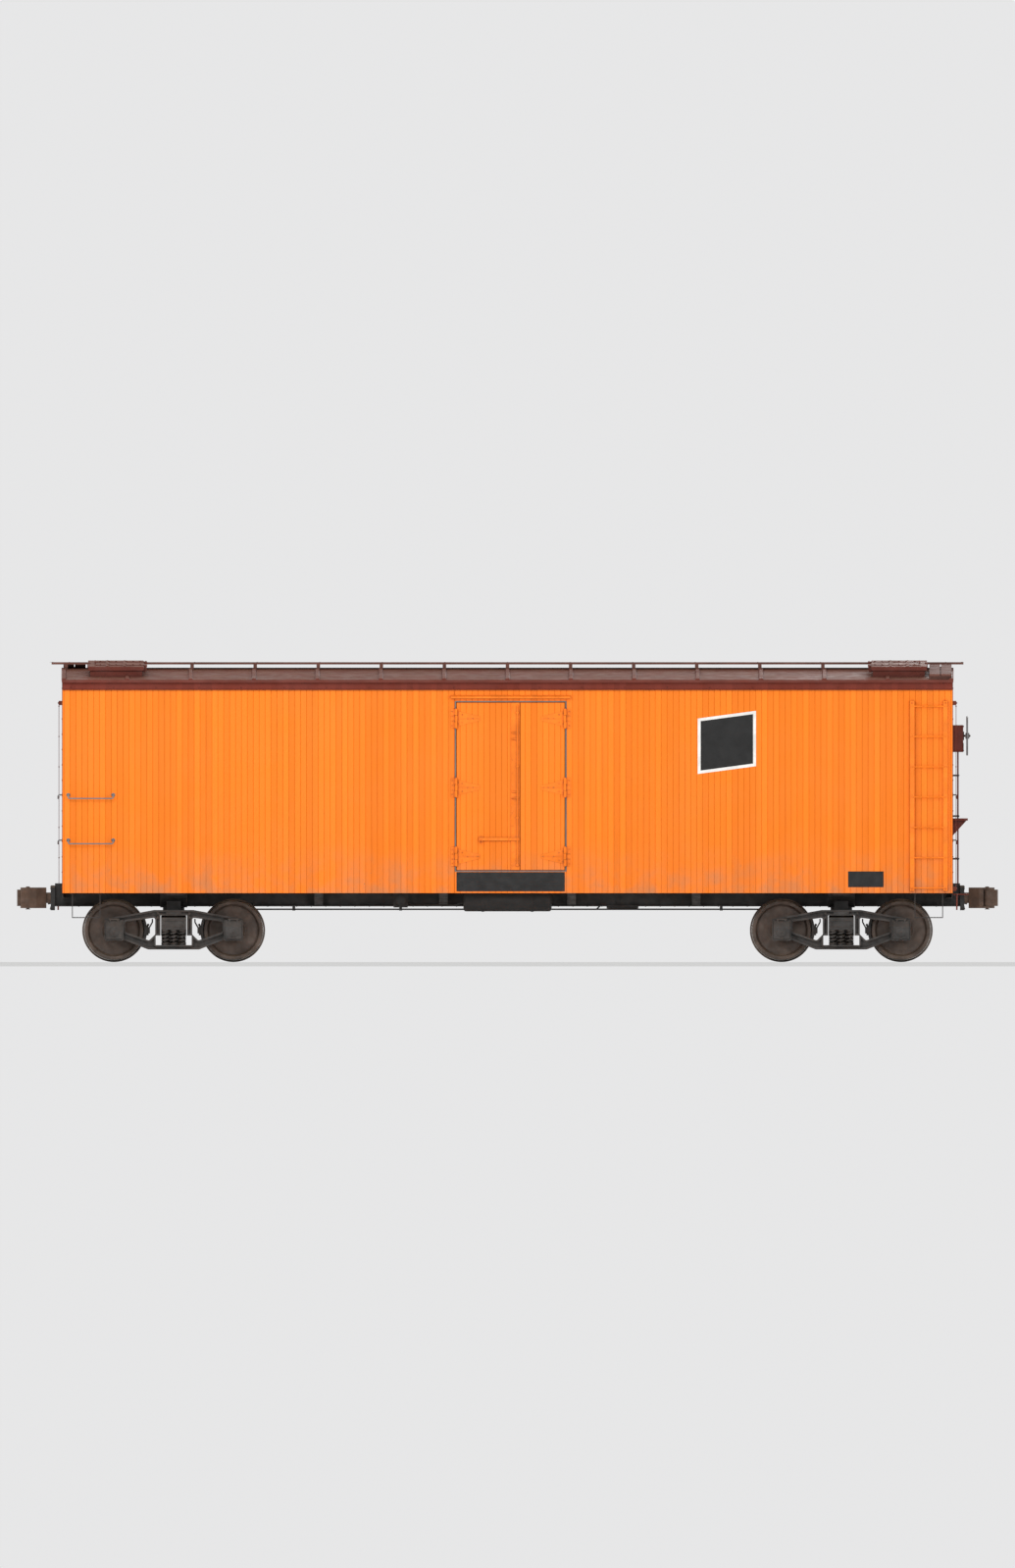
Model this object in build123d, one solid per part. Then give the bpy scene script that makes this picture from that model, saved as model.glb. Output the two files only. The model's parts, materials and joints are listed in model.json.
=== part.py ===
from build123d import *
from math import atan, cos, degrees, pi, sin
import os

# Forty-foot wooden-sided ice refrigerator car, full size, in millimetres.
# X runs along the car towards the B end, which carries the hand brake; the other end is the A end.
# Y runs across the car towards its left side, so the right side is at -Y.
# Z runs up from the tips of the wheel flanges. The origin is midway along and across the car.

# ---------------------------------------------------------------- wheels and axles
TREAD_R = 419.0  # 33 in wheel
FLANGE_H = 26.0  # how far the flange reaches below the top of the rail
WHEEL_BACK_Y = 673.0  # back face of each rim, from the centreline
RIM_W = 145.0
RIM_T = 52.0
WEB_T = 26.0
HUB_R = 135.0
HUB_W = 170.0
HUB_SETBACK = 5.0  # the hub starts this far inside the back of the rim
AXLE_R = 76.0
WHEEL_SEAT_R = 88.0
JOURNAL_R = 63.5
JOURNAL_L = 229.0
JOURNAL_Y = 965.0  # middle of each journal, from the centreline
BEARING_CLEAR = 0.1  # radial, between a journal and its box

RAIL_Z = FLANGE_H
AXLE_Z = RAIL_Z + TREAD_R
HUB_END_Y = WHEEL_BACK_Y - HUB_SETBACK + HUB_W

# ---------------------------------------------------------------- trucks
WHEELBASE = 1676.0
FRAME_W = 144.0  # width of a side frame across the car
FRAME_RIM = 26.0  # width of the flange that edges a side frame's recess
FRAME_RECESS = 42.0
FRAME_TOP_Z = RAIL_Z + 705.0
FRAME_BOTTOM_Z = RAIL_Z + 150.0
SPRING_SEAT_Z = RAIL_Z + 212.0
SPRING_SEAT_X = 262.0  # half length of the spring pocket
SPRING_H = 216.0
SPRING_R = 54.0
SPRING_PITCH = 122.0
SPRING_ROWS_Y = (48.0, -48.0)  # outer and inner row, from the middle of the side frame
COLUMN_X = 186.0  # half width of the bolster opening
GUIDE_CLEAR = 8.0  # between the bolster and each column
BOX_W = 268.0  # journal box along the car
BOX_H = 292.0
BOX_WALL = 34.0  # metal beyond the end of the journal
BOX_SETBACK = 8.0  # between the wheel hub and the back of the box
LID_T = 22.0
BOLSTER_END_H = 168.0
BOLSTER_DEPTH = 290.0  # at the middle
BOLSTER_TOP_Z = RAIL_Z + 636.0
BOWL_R = 196.0
BOWL_H = 30.0
CENTRE_PLATE_R = 152.0
CENTRE_PLATE_CLEAR = 3.0
PLATE_GAP = 0.3  # between the body's centre plate and the floor of the bowl
SIDE_BEARING_Y = 635.0
SIDE_BEARING_GAP = 8.0
SHOE_GAP = 8.0  # between a brake shoe and its wheel
SHOE_T = 38.0
SHOE_W = 86.0
SHOE_SPAN = 42.0  # degrees of the wheel that a shoe covers
BEAM_H = 90.0
BEAM_T = 34.0

# ---------------------------------------------------------------- car body
BODY_L = 12497.0  # over the sheathing of the ends
BODY_W = 2870.0  # over the sheathing of the sides
BODY_H = 2995.0  # bottom of the side to the eave
EAVE_ABOVE_RAIL = 3937.0
EAVE_OUT = 76.5  # edge of the roof beyond the side
WALL_T = 165.0
FLOOR_ABOVE_RAIL = 1330.0
FLOOR_T = 250.0
RACK_H = 110.0
INSIDE_H = 2159.0  # from the floor racks to the ceiling
BUNKER_L = 954.0
BULKHEAD_T = 75.0
BULKHEAD_AIR_GAP_LOW = 300.0
BULKHEAD_AIR_GAP_HIGH = 360.0
FASCIA_H = 120.0
FASCIA_T = 26.0
ROOF_RISE = 170.0
ROOF_EDGE_T = 18.0
ROOF_END_LAP = 12.0
END_OVERHANG = 1562.0  # truck centre to the end of the body

HALF_L = BODY_L / 2
HALF_W = BODY_W / 2
EAVE_W = BODY_W + 2 * EAVE_OUT
EAVE_Z = RAIL_Z + EAVE_ABOVE_RAIL
SIDE_BOTTOM_Z = EAVE_Z - BODY_H
FLOOR_Z = RAIL_Z + FLOOR_ABOVE_RAIL
FLOOR_BOTTOM_Z = FLOOR_Z - FLOOR_T
RACK_Z = FLOOR_Z + RACK_H
CEILING_Z = RACK_Z + INSIDE_H
INNER_X = HALF_L - WALL_T
INNER_Y = HALF_W - WALL_T
BULKHEAD_X = INNER_X - BUNKER_L  # bunker face of each bulkhead
WALL_TOP_Z = EAVE_Z - ROOF_EDGE_T - FASCIA_H
RIDGE_Z = EAVE_Z + ROOF_RISE
TRUCK_X = HALF_L - END_OVERHANG

# ---------------------------------------------------------------- underframe
SILL_H = 325.0
SILL_WEB_Y = 167.0  # outer face of each web of the centre sill
SILL_FLANGE_Y = 250.0
SILL_T = 12.0
SILL_FLANGE_T = 14.0
STRIKER_OUT = 165.0  # striker face beyond the end of the body
STRIKER_T = 60.0
STRIKER_W = 470.0
STRIKER_H = 350.0
STRIKER_MARGIN = 46.0  # metal round the coupler's opening
BODY_BOLSTER_L = 380.0
CROSSBEARER_X = (900.0, 2650.0)
CROSSBEARER_T = 12.0
CROSSBEARER_FLANGE = 120.0
SIDE_SILL_FLANGE = 76.0
END_SILL_H = 215.0
SILL_JOINT_GAP = 2.0  # between the ends of the side sills and the end sills

SILL_BOTTOM_Z = FLOOR_BOTTOM_Z - SILL_H
STRIKER_X = HALF_L + STRIKER_OUT

# ---------------------------------------------------------------- side doors
DOOR_SHIFT = 44.0  # doorway's centre from the car's centre, towards the B end on the right side
LEAF_WIDE = 884.0
LEAF_NARROW = 627.0
LEAF_H = 2349.0
LEAF_BOTTOM_ABOVE_RAIL = 1267.0
MEET_GAP = 8.0
DOOR_GAP = 8.0  # round the closed doors
LAP = 60.0  # how far a leaf laps over the frame behind it
LAP_T = 50.0  # thickness of the lapping part
LEAF_T = 150.0
BATTEN_W = 119.0
BATTEN_T = 18.0
PIN_OUT = 34.0  # hinge pin outside the side of the car
PIN_R = 9.0
PIN_CLEAR = 0.1
KNUCKLE_R = 17.0
KNUCKLE_GAP = 5.0
HINGE_H = 264.0
HINGE_SPACING = 968.0
HINGE_LOW_Z_UP = 189.0  # lowest hinge above the bottom of the leaf
BUTT_W = 78.0
BUTT_T = 12.0
STRAP_ROOT_W = 41.0
STRAP_L = 334.0
STRAP_ROOT_H = 200.0
STRAP_TIP_H = 55.0
STRAP_T = 10.0
LATCH_L = 571.0
LATCH_H = 40.0
LATCH_T = 14.0
LATCH_UP = 432.0  # latch above the bottom of the leaf
HOOD_W = 1683.0
HOOD_H = 46.0
HOOD_T = 55.0
HOOD_UP = 60.0  # underside of the hood above the top of the leaf
THRESHOLD_H = 269.0
THRESHOLD_T = 8.0
THRESHOLD_DOWN = 31.0  # top of the plate below the bottom of the leaf

DOOR_W = LEAF_WIDE + MEET_GAP + LEAF_NARROW
DOOR_X0 = DOOR_SHIFT - DOOR_W / 2
DOOR_X1 = DOOR_SHIFT + DOOR_W / 2
LEAF_Z0 = RAIL_Z + LEAF_BOTTOM_ABOVE_RAIL
LEAF_Z1 = LEAF_Z0 + LEAF_H
PIN_Y = -(HALF_W + PIN_OUT)

# ---------------------------------------------------------------- ice hatches
HATCH_L = 610.0  # clear opening along the car
HATCH_W = 600.0  # clear opening across the car
HATCH_X_IN = 590.0  # middle of the hatch from the inside of the end wall
HATCH_Y = 780.0
HATCH_FRAME_T = 60.0
HATCH_FRAME_H = 95.0
HATCH_LAP = 28.0  # cover beyond its frame
HATCH_SEAT_GAP = 5.0
COVER_T = 44.0
PLUG_DEPTH = 150.0
PLUG_CLEAR = 14.0
PLUG_TAPER = 26.0
HATCH_PIN_R = 10.0
HATCH_KNUCKLE_R = 18.0
HATCH_PIN_OUT = 24.0  # pin beyond the edge of the cover
HATCH_STRAP_Y = 210.0
HATCH_STRAP_W = 60.0
HATCH_KNUCKLE_GAP = 3.0

HATCH_X = INNER_X - HATCH_X_IN
ROOF_SLOPE = atan(ROOF_RISE / (EAVE_W / 2))

# ---------------------------------------------------------------- running boards, ladders and grab irons
PLANK_W = 150.0
PLANK_T = 32.0
PLANK_GAP = 12.0
BOARD_OVER_END = 150.0
SADDLE_H = 45.0
SADDLE_T = 50.0
SADDLE_COUNT = 15
LATERAL_OFF_END = 14.0  # lateral boards from the end of the roof
LATERAL_GAP = 8.0  # between the lateral boards and the running board
LATERAL_EAVE_GAP = 40.0
STILE_W = 61.0
STILE_T = 8.0
STILE_OUT = 45.0  # back of each stile from the wall
LADDER_W = 528.0
LADDER_H = 2668.0
LADDER_OFF_END = 70.0
LADDER_UP = 31.0  # foot of the ladder above the bottom of the side
END_LADDER_IN = 60.0  # end ladder from the corner of the car
RUNG_R = 9.5
RUNG_SPACING = 425.3
RUNG_COUNT = 7
RUNG_LOW = 41.0  # lowest rung above the foot of the ladder
FOOT_H = 60.0
GRAB_R = 9.5
GRAB_L = 631.0
GRAB_OUT = 62.0
GRAB_DROP = 50.0
GRAB_BEND = 24.0
GRAB_OFF_END = 82.0
GRAB_HEIGHTS = (2271.0, 1635.0)  # above the rail
GRAB_FOOT_R = 26.0
GRAB_FOOT_T = 8.0
STEP_W = 400.0
STEP_DROP = 350.0
STEP_BAR_W = 50.0
STEP_BAR_T = 12.0
STEP_OFF_END = 134.0
STEP_IN = 46.0  # outer face of the step inside the side

# ---------------------------------------------------------------- couplers and brakes
COUPLER_ABOVE_RAIL = 876.0
PULLING_OUT = 390.0  # pulling face beyond the striker
SHANK_W = 130.0
SHANK_H = 150.0
SHANK_L = 620.0  # striker to the coupler's swing pin
KNUCKLE_H = 230.0
KNUCKLE_PIN_R = 20.0
BRAKE_WHEEL_R = 279.0
BRAKE_WHEEL_RIM_R = 13.0
BRAKE_WHEEL_Y = -360.0
BRAKE_WHEEL_ABOVE_RAIL = 3150.0
BRAKE_HOUSING_T = 150.0
BRAKE_SHAFT_R = 16.0
BRAKE_SHAFT_L = 90.0
BRAKE_STEP_ABOVE_RAIL = 1960.0
BRAKE_STEP_L = 711.0
BRAKE_STEP_W = 215.0
CYLINDER_R = 145.0
CYLINDER_L = 430.0
RESERVOIR_R = 165.0
RESERVOIR_L = 1240.0
TRAIN_PIPE_R = 21.0
TRAIN_PIPE_BORE_R = 16.0

COUPLER_Z = RAIL_Z + COUPLER_ABOVE_RAIL
PULLING_X = STRIKER_X + PULLING_OUT
COUPLER_PIN_X = STRIKER_X - SHANK_L
PIN_SHOW = 14.0  # knuckle pin beyond the lugs
DRAFT_L = 620.0
DRAFT_H = 230.0
DRAFT_GAP = 12.0
BRAKE_HOUSING_W = 250.0
BRAKE_HOUSING_H = 380.0
BRAKE_WHEEL_OFF = 55.0
BRAKE_HUB_R = 42.0
BRAKE_HUB_L = 50.0
BRAKE_SPOKES = 5
BRAKE_SPOKE_R = 11.0
BRAKE_BRACKET_IN = 70.0
BRAKE_ROD_R = 11.0
BRAKE_ROD_Y = 60.0
BRAKE_RODS_Z = RAIL_Z + 715.0
BRAKE_RODS_SHORT = 586.5  # ends of the rods from the middle of each truck
STIRRUP_IN = 1100.0  # outer stirrups from the ends of the rods
STIRRUP_MIDDLE_X = -1500.0
LEVER_X = 1250.0
CYLINDER_X = 1400.0
CYLINDER_Y = 640.0
CYLINDER_Z = RAIL_Z + 850.0
RESERVOIR_Y = -680.0
RESERVOIR_Z = RAIL_Z + 850.0
VALVE_X = -1500.0
VALVE_W = 200.0
VALVE_Z = RAIL_Z + 740.0
TANK_BRACKET_T = 12.0
UNCOUPLER_R = 11.0
UNCOUPLER_OFF = 60.0
UNCOUPLER_Z = RAIL_Z + 925.0
UNCOUPLER_Y = -330.0
UNCOUPLER_IN = 150.0
UNCOUPLER_HANDLE = 220.0

# ---------------------------------------------------------------- more sizes of the frame, doors, hatches and pipe
STRIKER_INSET = 10.0  # edge of the striker's opening inside the webs of the sill
STRIKER_CORNER = 30.0
PAD_L = 240.0  # jacking pads on the side sills
PAD_W = 76.0
PAD_T = 20.0
PAD_DROP = 25.0
END_SILL_FLANGE = 90.0
BOLSTER_COVER_T = 14.0
BODY_BOLSTER_END_H = 150.0
CROSSBEARER_END_H = 120.0
BEAM_END_GAP = 4.0
SIDE_BEARING_L = 200.0
SIDE_BEARING_W = 90.0
SLAT_W = 150.0
SLAT_T = 35.0
SLAT_GAP = 50.0
STRINGER_W = 60.0
RACK_GAP = 12.0
ROOF_SEAT_Z = EAVE_Z - ROOF_EDGE_T
ROOF_SPLIT_X = BULKHEAD_X - BULKHEAD_T
MEET_CLEAR = 6.0  # between an opening leaf and the one beside it
HINGE_COUNT = 3
STRAP_OFF_PIN = 6.0
BUTT_OFF_PIN = 8.0
PIN_X0 = DOOR_X0 - DOOR_GAP / 2
PIN_X1 = DOOR_X1 + DOOR_GAP / 2
LATCH_GUIDE_W = 60.0
HATCH_BUTT_W = 22.0
HATCH_ARM_H = 40.0
HATCH_STRAP_T = 8.0
HATCH_STRAP_SHORT = 90.0
COVER_CHAMFER = 10.0
HATCH_PIN_X = HATCH_L / 2 + HATCH_FRAME_T + HATCH_LAP + HATCH_PIN_OUT  # from the middle of the hatch
HATCH_PIN_DROP = 6.0  # hatch pin below the top of the cover
HATCH_PIN_Z = HATCH_FRAME_H + HATCH_SEAT_GAP + COVER_T - HATCH_PIN_DROP
TRAIN_PIPE_Y = 330.0
TRAIN_PIPE_Z = RAIL_Z + 900.0
TRAIN_PIPE_END_Z = RAIL_Z + 815.0
TRAIN_PIPE_CLEAR = 8.0
TRAIN_PIPE_BEND = 90.0
TRAIN_PIPE_DROP_BACK = (723.5, 563.5)  # start and end of the drop, back from the striker
ANGLE_COCK_R = 28.0
ANGLE_COCK_L = 120.0
ANGLE_COCK_STEM_R = 14.0
ANGLE_COCK_STEM_H = 48.0
ANGLE_COCK_OUT = 40.0  # beyond the striker

BRAKE_RODS_REACH = TRUCK_X - BRAKE_RODS_SHORT
STIRRUP_X = (STIRRUP_IN - BRAKE_RODS_REACH, STIRRUP_MIDDLE_X, BRAKE_RODS_REACH - STIRRUP_IN)


# ---------------------------------------------------------------- shape helpers
def block(x, y, z):
    """A box between three (low, high) pairs."""
    sizes = [high - low for low, high in (x, y, z)]
    middle = [(low + high) / 2 for low, high in (x, y, z)]
    return Pos(*middle) * Box(*sizes)


def polygon(points):
    return make_face(Polyline(*points, close=True))


def across(face, y0, y1):
    """A face drawn in X and Z, pulled across the car from y0 to y1."""
    return extrude(Plane.XZ.offset(-y1) * face, y1 - y0)


def along(face, x0, x1):
    """A face drawn in Y and Z, pulled along the car from x0 to x1."""
    return extrude(Plane.YZ.offset(x0) * face, x1 - x0)


def upright(face, z0, z1):
    """A face drawn in X and Y, pulled up from z0 to z1."""
    return extrude(Plane.XY.offset(z0) * face, z1 - z0)


def rod(start, end, radius):
    """A round bar from one point to another."""
    run = Vector(*end) - Vector(*start)
    return Plane(origin=start, z_dir=run) * Pos(0, 0, run.length / 2) * Cylinder(radius, run.length)


def bent_rod(points, radius, bend):
    """A round bar along straight runs with rounded corners."""
    path = FilletPolyline(*points, radius=bend)
    return sweep(Plane(origin=path @ 0, z_dir=path % 0) * Circle(radius), path)


def half_turned(shape):
    """The same piece on the other side or end of the car, turned about the vertical."""
    return Rot(0, 0, 180) * shape


def end_mirrored(shape):
    return mirror(shape, about=Plane.YZ)


def side_mirrored(shape):
    return mirror(shape, about=Plane.XZ)


def roof_z(y):
    """Height of the roof's surface at y."""
    return RIDGE_Z - ROOF_RISE * abs(y) / (EAVE_W / 2)


# ---------------------------------------------------------------- wheelsets
def axle():
    seat_end = HUB_END_Y + 2
    seat_start = WHEEL_BACK_Y - 40
    journal_end = JOURNAL_Y + JOURNAL_L / 2
    half = [
        (seat_start - 60, AXLE_R),
        (seat_start, WHEEL_SEAT_R),
        (seat_end, WHEEL_SEAT_R),
        (seat_end, JOURNAL_R),
        (journal_end, JOURNAL_R),
    ]
    points = [(-journal_end, 0)] + [(-y, r) for y, r in reversed(half)] + half + [(journal_end, 0)]
    return revolve(Plane.YZ * polygon(points), Axis.Y)


def wheel():
    """The wheel on the left, with a tapered tread and a dished web."""
    back, front = WHEEL_BACK_Y, WHEEL_BACK_Y + RIM_W
    hub_back = WHEEL_BACK_Y - HUB_SETBACK
    rim_r = TREAD_R - RIM_T
    flange_r = TREAD_R + FLANGE_H
    web_rim_y = back + RIM_W * 0.56
    web_hub_y = hub_back + HUB_W * 0.42
    bore_r = WHEEL_SEAT_R - 4
    face = polygon(
        [
            (back, rim_r),
            (back, flange_r - 14),
            (back + 9, flange_r),
            (back + 19, flange_r),
            (back + 33, TREAD_R + 3),
            (front - 10, TREAD_R - 4),
            (front, TREAD_R - 12),
            (front, rim_r),
            (web_rim_y + WEB_T / 2, rim_r - 26),
            (web_hub_y + WEB_T * 0.8, HUB_R + 30),
            (hub_back + HUB_W, HUB_R),
            (hub_back + HUB_W, bore_r),
            (hub_back, bore_r),
            (hub_back, HUB_R),
            (web_hub_y - WEB_T * 0.8, HUB_R + 30),
            (web_rim_y - WEB_T / 2, rim_r - 26),
        ]
    )
    inner_corners = [v for v in face.vertices() if HUB_R + 10 < v.Y < rim_r - 10]
    face = fillet(inner_corners, 18)
    return revolve(Plane.YZ * face, Axis.Y)


def wheelset():
    one = wheel()
    return Pos(0, 0, AXLE_Z) * (axle() + one + side_mirrored(one))


# ---------------------------------------------------------------- truck pieces, about the truck's own centre
def journal_boxes():
    """The two journal boxes of the left side frame, before their bores."""
    back = HUB_END_Y + BOX_SETBACK
    journal_end = JOURNAL_Y + JOURNAL_L / 2
    front = journal_end + BOX_WALL
    low, high = AXLE_Z - BOX_H / 2, AXLE_Z + BOX_H / 2
    bevel = BOX_H * 0.16
    # seen along the car: a box whose front leans back towards its top
    side = polygon([(back, low), (front, low), (front, high - bevel * 2), (front - bevel, high), (back, high)])
    lid = polygon(
        [
            (front, low + 18),
            (front + LID_T, low + 26),
            (front + LID_T, high - bevel * 2),
            (front + LID_T - bevel * 0.85, high - 16),
            (front - bevel * 0.8, high - 16),
            (front - bevel * 0.1, high - bevel * 2),
        ]
    )
    boxes = []
    for axle_x in (-WHEELBASE / 2, WHEELBASE / 2):
        shell = along(side, axle_x - BOX_W / 2, axle_x + BOX_W / 2)
        shell = fillet(shell.edges().filter_by(Axis.Y), 20)
        cover = along(lid, axle_x - BOX_W / 2 + 22, axle_x + BOX_W / 2 - 22)
        boxes.append(shell + cover)
    return boxes


def side_frame():
    """The left side frame: a cast truss with a bolster opening, two windows and a journal box at each end."""
    y0, y1 = JOURNAL_Y - FRAME_W / 2, JOURNAL_Y + FRAME_W / 2
    box_x = WHEELBASE / 2 + BOX_W / 2
    half = [
        (COLUMN_X + 90, FRAME_TOP_Z),
        (WHEELBASE / 2 - BOX_W / 2 - 60, AXLE_Z + BOX_H / 2 + 72),
        (box_x, AXLE_Z + BOX_H / 2 + 18),
        (box_x, AXLE_Z + BOX_H / 2 - 60),
        (WHEELBASE / 2, AXLE_Z),
        (WHEELBASE / 2 - BOX_W / 2 - 6, AXLE_Z - BOX_H / 2 + 10),
        (SPRING_SEAT_X + 96, FRAME_BOTTOM_Z),
    ]
    outline = polygon([(-x, z) for x, z in half] + list(reversed(half)))
    outline = fillet([v for v in outline.vertices() if abs(v.X) < box_x - 80], 55)
    window = polygon(
        [
            (COLUMN_X + 74, FRAME_TOP_Z - 108),
            (WHEELBASE / 2 - BOX_W / 2 - 22, AXLE_Z + BOX_H / 2 - 22),
            (WHEELBASE / 2 - BOX_W / 2 - 22, AXLE_Z - 24),
            (SPRING_SEAT_X + 84, SPRING_SEAT_Z + 66),
            (COLUMN_X + 74, SPRING_SEAT_Z + 150),
        ]
    )
    window = fillet(window.vertices(), 26)
    bolster_gap = Pos(0, (SPRING_SEAT_Z + FRAME_TOP_Z - 78) / 2) * Rectangle(
        2 * COLUMN_X, FRAME_TOP_Z - 78 - SPRING_SEAT_Z
    )
    spring_top = SPRING_SEAT_Z + SPRING_H * 0.62
    spring_gap = Pos(0, (SPRING_SEAT_Z + spring_top) / 2) * Rectangle(
        2 * SPRING_SEAT_X - 20, spring_top - SPRING_SEAT_Z
    )
    face = outline - window - mirror(window, about=Plane.YZ) - (bolster_gap + spring_gap)
    frame = across(face, y0, y1)
    frame -= across(offset(face, -FRAME_RIM), y1 - FRAME_RECESS, y1 + 1)
    seat = block(
        (-SPRING_SEAT_X, SPRING_SEAT_X),
        (JOURNAL_Y + SPRING_ROWS_Y[1] - SPRING_R - 8, JOURNAL_Y + SPRING_ROWS_Y[0] + SPRING_R + 8),
        (SPRING_SEAT_Z - 22, SPRING_SEAT_Z),
    )
    for box in journal_boxes():
        frame += box
    for axle_x in (-WHEELBASE / 2, WHEELBASE / 2):
        bore = rod(
            (axle_x, HUB_END_Y, AXLE_Z),
            (axle_x, JOURNAL_Y + JOURNAL_L / 2 + BEARING_CLEAR + 4, AXLE_Z),
            JOURNAL_R + BEARING_CLEAR,
        )
        frame -= bore
    return frame + seat


def truck_bolster():
    """The beam across a truck, with the bowl for the body's centre plate and a side bearing near each end."""
    end_z = SPRING_SEAT_Z + SPRING_H
    reach = JOURNAL_Y + FRAME_W / 2 + 14
    half_x = COLUMN_X - GUIDE_CLEAR
    half = [
        (reach, end_z),
        (reach, end_z + BOLSTER_END_H),
        (SIDE_BEARING_Y + 120, BOLSTER_TOP_Z),
    ]
    low = [(-reach, end_z), (-720, end_z), (-440, BOLSTER_TOP_Z - BOLSTER_DEPTH)]
    low += [(-y, z) for y, z in reversed(low)]
    face = polygon(low + half[1:] + [(-y, z) for y, z in reversed(half[1:])])
    beam = along(face, -half_x, half_x)
    beam = chamfer(beam.edges().filter_by(Axis.Y).filter_by_position(Axis.Z, BOLSTER_TOP_Z - 1, BOLSTER_TOP_Z + 1), 18)
    bowl = Pos(0, 0, BOLSTER_TOP_Z + BOWL_H / 2) * Cylinder(BOWL_R, BOWL_H)
    bowl -= Pos(0, 0, BOLSTER_TOP_Z + BOWL_H) * Cylinder(CENTRE_PLATE_R + CENTRE_PLATE_CLEAR, 2 * BOWL_H)
    beam += bowl
    for side in (-1, 1):
        y = side * SIDE_BEARING_Y
        beam += block((-110, 110), (y - 55, y + 55), (BOLSTER_TOP_Z - 10, BOLSTER_TOP_Z + BOWL_H))
    return beam


def spring_group():
    """Five springs under the left end of a truck bolster."""
    outer = [(n * SPRING_PITCH, SPRING_ROWS_Y[0]) for n in (-1, 0, 1)]
    inner = [(n * SPRING_PITCH, SPRING_ROWS_Y[1]) for n in (-0.5, 0.5)]
    return [
        rod((x, JOURNAL_Y + y, SPRING_SEAT_Z), (x, JOURNAL_Y + y, SPRING_SEAT_Z + SPRING_H), SPRING_R)
        for x, y in outer + inner
    ]


def brake_beam():
    """The brake beam beside the wheels at +X, with a shoe and its head at each end."""
    axle_x = WHEELBASE / 2
    shoe_y = WHEEL_BACK_Y + RIM_W * 0.6
    inner_r = TREAD_R + SHOE_GAP
    outer_r = inner_r + SHOE_T
    ring = Pos(axle_x, AXLE_Z) * (Circle(outer_r) - Circle(inner_r))
    reach = outer_r * 1.2
    spread = reach * sin(SHOE_SPAN / 2 * pi / 180)
    drop = reach * cos(SHOE_SPAN / 2 * pi / 180)
    wedge = polygon([(axle_x, AXLE_Z), (axle_x - drop, AXLE_Z + spread), (axle_x - drop, AXLE_Z - spread)])
    shoe_face = ring & wedge
    head_x = axle_x - outer_r
    beam = block(
        (head_x - BEAM_T - 6, head_x - 6),
        (-shoe_y - SHOE_W / 2, shoe_y + SHOE_W / 2),
        (AXLE_Z - BEAM_H / 2, AXLE_Z + BEAM_H / 2),
    )
    beam = fillet(beam.edges().filter_by(Axis.Y), 12)
    for side in (-1, 1):
        y = side * shoe_y
        beam += across(shoe_face, y - SHOE_W / 2, y + SHOE_W / 2)
        beam += block((head_x - 20, head_x + 12), (y - 30, y + 30), (AXLE_Z - 70, AXLE_Z + 70))
    return beam


# ---------------------------------------------------------------- underframe
def center_sill():
    """A hat section: two webs joined along the top, with a flange turned out along the bottom of each."""
    top = FLOOR_BOTTOM_Z
    half = [
        (0, top),
        (SILL_WEB_Y, top),
        (SILL_WEB_Y, SILL_BOTTOM_Z + SILL_FLANGE_T),
        (SILL_FLANGE_Y, SILL_BOTTOM_Z + SILL_FLANGE_T),
        (SILL_FLANGE_Y, SILL_BOTTOM_Z),
        (SILL_WEB_Y - SILL_T, SILL_BOTTOM_Z),
        (SILL_WEB_Y - SILL_T, top - SILL_FLANGE_T),
        (0, top - SILL_FLANGE_T),
    ]
    section = polygon(half)
    reach = STRIKER_X - STRIKER_T
    return along(section + mirror(section, about=Plane.YZ), -reach, reach)


def strikers():
    """The casting on each end of the centre sill, with an opening for the coupler's shank."""
    half_open = SILL_WEB_Y - SILL_T - STRIKER_INSET
    low = COUPLER_Z - STRIKER_H / 2
    plate = block((STRIKER_X - STRIKER_T, STRIKER_X), (-STRIKER_W / 2, STRIKER_W / 2), (low, low + STRIKER_H))
    mouth = block(
        (STRIKER_X - 2 * STRIKER_T, STRIKER_X + STRIKER_T),
        (-half_open, half_open),
        (low + STRIKER_MARGIN, low + STRIKER_H - STRIKER_MARGIN),
    )
    plate = chamfer(plate.edges().filter_by(Axis.X), STRIKER_CORNER) - mouth
    return [plate, half_turned(plate)]


def side_sills():
    """Angles under the floor's edges, each with a jacking pad beside the body bolsters."""
    y0, y1 = INNER_Y - SIDE_SILL_FLANGE, INNER_Y
    section = [
        (y0, FLOOR_BOTTOM_Z),
        (y1, FLOOR_BOTTOM_Z),
        (y1, SIDE_BOTTOM_Z),
        (y1 - SILL_T, SIDE_BOTTOM_Z),
        (y1 - SILL_T, FLOOR_BOTTOM_Z - SILL_T),
        (y0, FLOOR_BOTTOM_Z - SILL_T),
    ]
    reach = INNER_X - SILL_JOINT_GAP
    sill = along(polygon(section), -reach, reach)
    for middle in (-TRUCK_X, TRUCK_X):
        x = (middle - PAD_L / 2, middle + PAD_L / 2)
        sill += block(x, (INNER_Y - PAD_W, INNER_Y), (SIDE_BOTTOM_Z - PAD_DROP, SIDE_BOTTOM_Z + PAD_T))
    return [sill, half_turned(sill)]


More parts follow.
